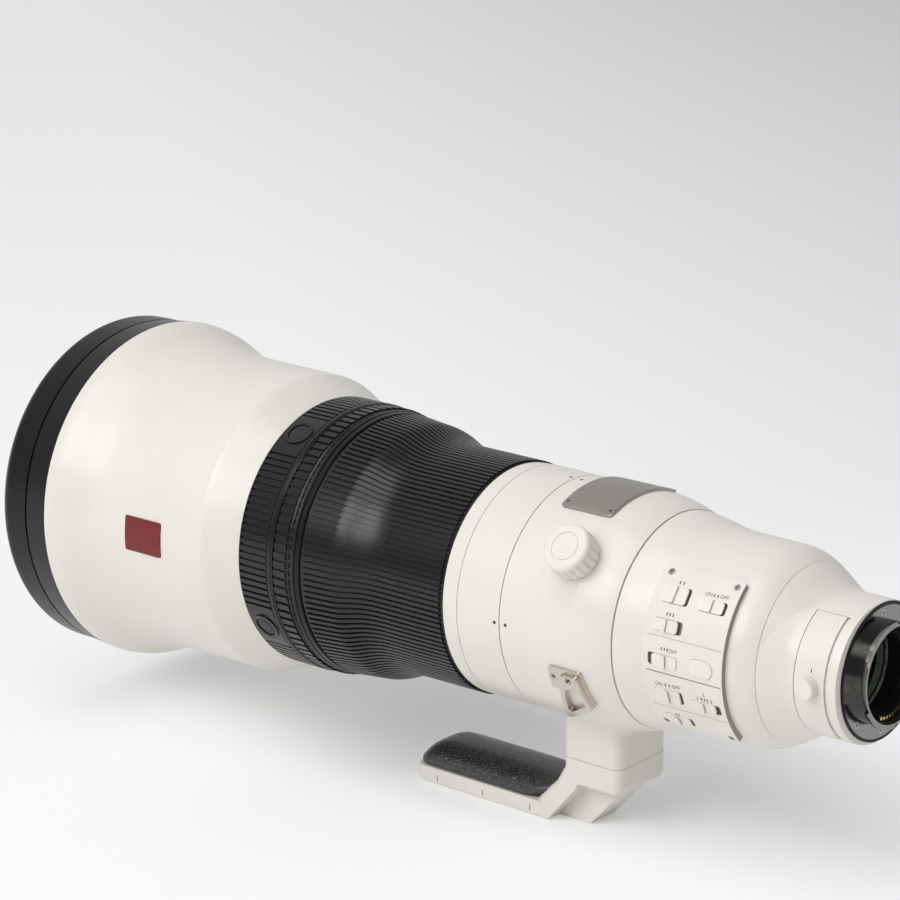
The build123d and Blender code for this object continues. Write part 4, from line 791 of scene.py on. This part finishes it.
class LENS_OT_foot_pad(bpy.types.Operator):
    """Soft leather pad on the foot"""

    bl_idname = "lens.foot_pad"
    bl_label = "Leather pad"

    # Sizes are in mm where they don't say metres
    columns = 41
    rows = 19
    layers = 6
    layer_height = 1.7
    seam = 0.3  # how far the pad stays inside the CAD pad, at its foot and at its top
    nose_height = 0.46  # the front end's height as a share of the middle's
    side_drop = 0.42  # share of the height that is lost at the sides
    rear_drop = 0.1  # share of the height that is lost at the rear end
    front_taper = 0.30  # share of the width that is lost at the front end
    rear_taper = 0.26  # share of the width that is lost at the rear end
    tuck = 0.4  # how far the top of the front end leans in
    rear_end = -0.1705  # station of the rear end at the pad's foot, in metres
    rear_lean = 0.0115  # how far the rear end leans rearwards up to the top, in metres
    voxel = 1.3
    held_height = 1.2  # the cloth is held up to this height
    pressure = 4.0
    blown_frames = 15

    def execute(self, context):
        pad = self.block()
        self.swell(context, pad, context.scene.lens_sizes.pad_cap)
        self.smooth(pad)
        leather = self.leather(context.scene.lens_colours.pad_leather)
        finish_piece(pad, leather, "tripod_collar")
        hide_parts("foot_pad")
        return {"FINISHED"}

    def block(self):
        """A slim block in the space of the CAD pad, crowned along and across, with its ends drawn in."""
        low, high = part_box("foot_pad")
        bottom = low.z + self.seam * mm
        bpy.ops.mesh.primitive_grid_add(x_subdivisions=self.columns, y_subdivisions=self.rows, size=1)
        pad = bpy.context.object
        pad.name = "leather_pad"
        pad.data.name = "leather_pad"
        pad.scale = (high.x - low.x, high.y - low.y, 1)
        pad.location = ((high.x + low.x) / 2, 0, bottom)
        settle(pad)
        bpy.ops.object.mode_set(mode="EDIT")
        bpy.ops.mesh.select_all(action="SELECT")
        layer = {"value": (0, 0, self.layer_height * mm)}
        for _ in range(self.layers):
            bpy.ops.mesh.extrude_region_move(TRANSFORM_OT_translate=layer)
        bpy.ops.object.mode_set(mode="OBJECT")
        mend(pad)
        shape = bmesh.new()
        shape.from_mesh(pad.data)
        for vert in shape.verts:
            vert.co = self.shaped(vert.co, low, high, bottom)
        shape.to_mesh(pad.data)
        shape.free()
        return pad

    @staticmethod
    def drawn_in(distance, reach, curve):
        """1 at an end of the pad and 0 further than a reach from it, on a curve of this power."""
        return (1 - min(1.0, distance / reach)) ** curve

    def shaped(self, point, low, high, bottom):
        """Where a point of the block goes on the pad."""
        rise = (point.z - bottom) / (self.layers * self.layer_height * mm)
        along = (point.x - low.x) / (high.x - low.x)
        across = point.y / ((high.y - low.y) / 2)
        front = 1 - self.drawn_in(along, reach=0.16, curve=2.4)
        rear = 1 - self.drawn_in(1 - along, reach=0.10, curve=2.6)
        edge = 1 - abs(across) ** 3.2 * self.side_drop
        top = (high.z - low.z) * (self.nose_height + (1 - self.nose_height) * front) * edge
        crown = bpy.context.scene.lens_sizes.pad_crown
        top = top + crown * (1 - across * across) * math.sin(math.pi * along)
        plan = 1 - self.front_taper * self.drawn_in(along, reach=0.10, curve=2.2)
        plan = plan - self.rear_taper * self.drawn_in(1 - along, reach=0.12, curve=2.2)
        bulge = 1 - 0.10 * rise ** 4 - 0.03 * (1 - rise) ** 3
        x = point.x + (1 - front) * self.tuck * mm * rise
        rear_x = self.rear_end + self.rear_lean * rise
        x = low.x + (x - low.x) * (rear_x - low.x) / (high.x - low.x)
        kept = 1 - self.rear_drop * (1 - rear)
        z = bottom + rise * (top * kept - self.seam * mm)
        return Vector((x, point.y * plan * bulge, z))

    def swell(self, context, pad, cap):
        """Blows the pad up a little as cloth and keeps what the cap allows."""
        only(pad)
        remesh = pad.modifiers.new("even", "REMESH")
        remesh.mode = "VOXEL"
        remesh.voxel_size = self.voxel * mm
        bpy.ops.object.modifier_apply(modifier="even")
        rest = [vert.co.copy() for vert in pad.data.vertices]
        floor = min(point.z for point in rest)
        held = pad.vertex_groups.new(name="held")
        held.add([i for i, point in enumerate(rest) if point.z < floor + self.held_height * mm], 1.0, "ADD")
        cloth = pad.modifiers.new("stuffing", "CLOTH")
        cloth.settings.use_pressure = True
        cloth.settings.uniform_pressure_force = self.pressure
        cloth.settings.effector_weights.gravity = 0.0
        cloth.settings.vertex_group_mass = "held"
        cloth.settings.quality = 5
        for step in range(self.blown_frames):
            context.scene.frame_set(step + 1)
        bpy.ops.object.modifier_apply(modifier="stuffing")
        for vert, point in zip(pad.data.vertices, rest):
            move = vert.co - point
            if move.length > cap:
                move = move * (cap / move.length)
            vert.co = point + move
        context.scene.frame_set(1)

    def smooth(self, pad):
        """Divides the faces once and shades them smooth."""
        only(pad)
        finer = pad.modifiers.new("finer", "SUBSURF")
        finer.levels = 1
        finer.render_levels = 1
        bpy.ops.object.modifier_apply(modifier="finer")
        bpy.ops.object.shade_smooth()

    def leather(self, shade):
        """Grained leather: small cells with creases painted darker between them as painted shade, pores,
        long folds and a sheen.
        """
        finish = Finish("grained_leather", Specular_IOR_Level=1.0)
        pebbles = finish.cells(1.1 * mm, "SMOOTH_F1")
        creases = finish.cells(1.3 * mm, "DISTANCE_TO_EDGE").smooth(0.02, 0.2)
        pores = finish.noise(0.28 * mm, 4, 0.7)
        folds = finish.noise(6 * mm, 3, 0.6, stretch=(0.35, 1, 1))
        height = creases * 0.6 + (1 - pebbles) * 0.4
        folded = finish.bump(folds, 0.10 * mm)
        porous = finish.bump(pores, 0.02 * mm, under=folded)
        relief = finish.bump(height, 0.20 * mm, under=porous)
        # painted shade: the creases between the cells are darker
        base = finish.tint(creases, darker(shade, 0.45), finish.tint(folds, shade, darker(shade, 1.7)))
        gloss = 0.35 - 0.12 * creases + 0.08 * pores
        return finish.feed(Base_Color=base, Roughness=gloss, Normal=relief)


class LENS_OT_panel_marks(bpy.types.Operator):
    """Ticks, fine lines, ON, OFF and the numbers of the switch panel"""

    bl_idname = "lens.panel_marks"
    bl_label = "Panel marks"

    # Stations are in mm and angles in degrees round the axis
    radius = 46.0
    ticks = (  # station and angle of each row, its number of ticks and their pitch
        (-76.25, 137.7, 2, 1.9), (-58.1, 140.0, 2, 1.8), (-76.55, 155.2, 3, 1.55), (-76.6, 173.4, 3, 1.5),
        (-75.7, 193.2, 2, 2.0), (-57.1, 196.0, 3, 1.5), (-74.9, 213.4, 2, 1.4),
    )
    words = (
        ("ON", -61.8, 140.1), ("OFF", -53.9, 139.8), ("OFF", -72.3, 173.7), ("ON", -80.1, 193.6),
        ("OFF", -71.3, 193.2), ("1", -60.7, 196.4), ("2", -57.2, 193.1), ("3", -53.6, 196.2),
    )
    pale_lines = (167.2, 208.0)
    dark_line = 186.5
    line_station = -67.0
    line_length = 38.0
    line_rise = 0.012

    def execute(self, context):
        colours = context.scene.lens_colours
        sizes = context.scene.lens_sizes
        ink = self.ink("mark_ink", colours.mark_grey)
        marks = []
        for station, angle, count, pitch in self.ticks:
            for step in range(count):
                seat = seat_on(self.radius, station + (step - (count - 1) / 2) * pitch, angle)
                marks.append(stamp(sizes.mark_width, sizes.mark_length, sizes.mark_rise, 0.1 * mm, seat))
        for text, station, angle in self.words:
            seat = seat_on(self.radius, station, angle)
            marks.append(lettering(text, sizes.letter_height, sizes.mark_rise, seat))
        finish_piece(joined(marks, "panel_marks"), ink, "barrel")
        # The fine lines are thin strips with painted shade of lines cut into the panel, darker at dark_line.
        lines = [self.line(angle, sizes.line_width) for angle in self.pale_lines]
        soft = self.ink("line_shade", colours.line_grey)
        finish_piece(joined(lines, "panel_lines"), soft, "barrel")
        line = self.line(self.dark_line, sizes.line_width * 1.25)
        dark = self.ink("line_dark", darker(colours.line_grey, 0.35))
        finish_piece(joined([line], "panel_dark_line"), dark, "barrel")
        return {"FINISHED"}

    def line(self, angle, width):
        """One of the fine lines across the panel."""
        seat = seat_on(self.radius, self.line_station, angle)
        return stamp(self.line_length * mm, width, self.line_rise * mm, 0.05 * mm, seat)

    @staticmethod
    def ink(name, shade):
        """Printed ink, also the painted shade of the panel's fine lines: matte and slightly uneven."""
        finish = Finish(name, Specular_IOR_Level=0.3)
        patch = finish.noise(0.35 * mm, 3, 0.7)
        base = finish.tint(patch, shade, darker(shade, 1.5))
        relief = finish.bump(patch, 0.004 * mm)
        return finish.feed(Base_Color=base, Roughness=0.55 + 0.2 * patch, Normal=relief)


class LENS_OT_index_marks(bpy.types.Operator):
    """Index dots of the barrel and the collar, and the ticks of the filter's cover and the foot"""

    bl_idname = "lens.index_marks"
    bl_label = "Index marks"

    # Sizes and places are in mm and angles in degrees round the axis
    dot_angles = (90, 180, 0)
    barrel_radius = 52.35
    barrel_station = -162.5
    collar_radius = 52.3
    collar_station = -156.5
    cover_radius = 30
    cover_angle = 166.9
    cover_station = -12.59
    cover_shift = -3.3  # the cover's curve has its centre this far from the axis
    tick_width = 0.45
    cover_tick = 1.6
    foot_tick = 2.8
    foot_stations = (-227.3, -200.1, -172.7)
    foot_side = 17.5
    foot_height = -98.9

    def execute(self, context):
        sizes = context.scene.lens_sizes
        ink = LENS_OT_panel_marks.ink("index_ink", context.scene.lens_colours.mark_grey)
        barrel = []
        collar = []
        for angle in self.dot_angles:
            barrel.append(self.dot(sizes, seat_on(self.barrel_radius, self.barrel_station, angle)))
            collar.append(self.dot(sizes, seat_on(self.collar_radius, self.collar_station, angle)))
        seat = seat_on(self.cover_radius, self.cover_station, self.cover_angle, self.cover_shift)
        cover = [self.tick(sizes, self.cover_tick, 0.08, seat)]
        for station in self.foot_stations:
            for side in (-1, 1):
                seat = seat_at((station, side * self.foot_side, self.foot_height), (0, side, 0))
                collar.append(self.tick(sizes, self.foot_tick, 0.1, seat))
        finish_piece(joined(barrel, "barrel_index_marks"), ink, "barrel")
        finish_piece(joined(cover, "cover_index_mark"), ink, "filter_holder")
        finish_piece(joined(collar, "collar_index_marks"), ink, "tripod_collar")
        return {"FINISHED"}

    def dot(self, sizes, seat):
        """A round dot: a square plate whose corners take nearly half its size."""
        return stamp(sizes.dot_size, sizes.dot_size, sizes.mark_rise, 0.49 * sizes.dot_size, seat, 5)

    def tick(self, sizes, height, corner, seat):
        """A short dash of this height and corner in mm."""
        return stamp(self.tick_width * mm, height * mm, sizes.mark_rise, corner * mm, seat)


class LENS_PT_panel(bpy.types.Panel):
    """Lists the steps that dress the lens"""

    bl_idname = "LENS_PT_panel"
    bl_label = "Super telephoto lens"
    bl_space_type = "VIEW_3D"
    bl_region_type = "UI"
    bl_category = "Lens"

    def draw(self, context):
        for step in steps:
            self.layout.operator(step.bl_idname)
        for group in (context.scene.lens_colours, context.scene.lens_sizes, context.scene.lens_stage):
            for name in group.bl_rna.properties.keys():
                if name not in ("rna_type", "name"):
                    self.layout.prop(group, name)


steps = (
    LENS_OT_stage,
    LENS_OT_enamel,
    LENS_OT_black,
    LENS_OT_rubber,
    LENS_OT_metal,
    LENS_OT_glass,
    LENS_OT_badge,
    LENS_OT_board,
    LENS_OT_foot_pad,
    LENS_OT_panel_marks,
    LENS_OT_index_marks,
)
groups = (LensColours, LensSizes, StageSettings)


def register():
    for each in (*groups, *steps, LENS_PT_panel):
        bpy.utils.register_class(each)
    bpy.types.Scene.lens_colours = bpy.props.PointerProperty(type=LensColours)
    bpy.types.Scene.lens_sizes = bpy.props.PointerProperty(type=LensSizes)
    bpy.types.Scene.lens_stage = bpy.props.PointerProperty(type=StageSettings)


def unregister():
    del bpy.types.Scene.lens_stage
    del bpy.types.Scene.lens_sizes
    del bpy.types.Scene.lens_colours
    for each in reversed((*groups, *steps, LENS_PT_panel)):
        bpy.utils.unregister_class(each)


def main():
    register()
    for step in steps:
        area, action = step.bl_idname.split(".")
        getattr(getattr(bpy.ops, area), action)()


if __name__ == "__main__":
    main()
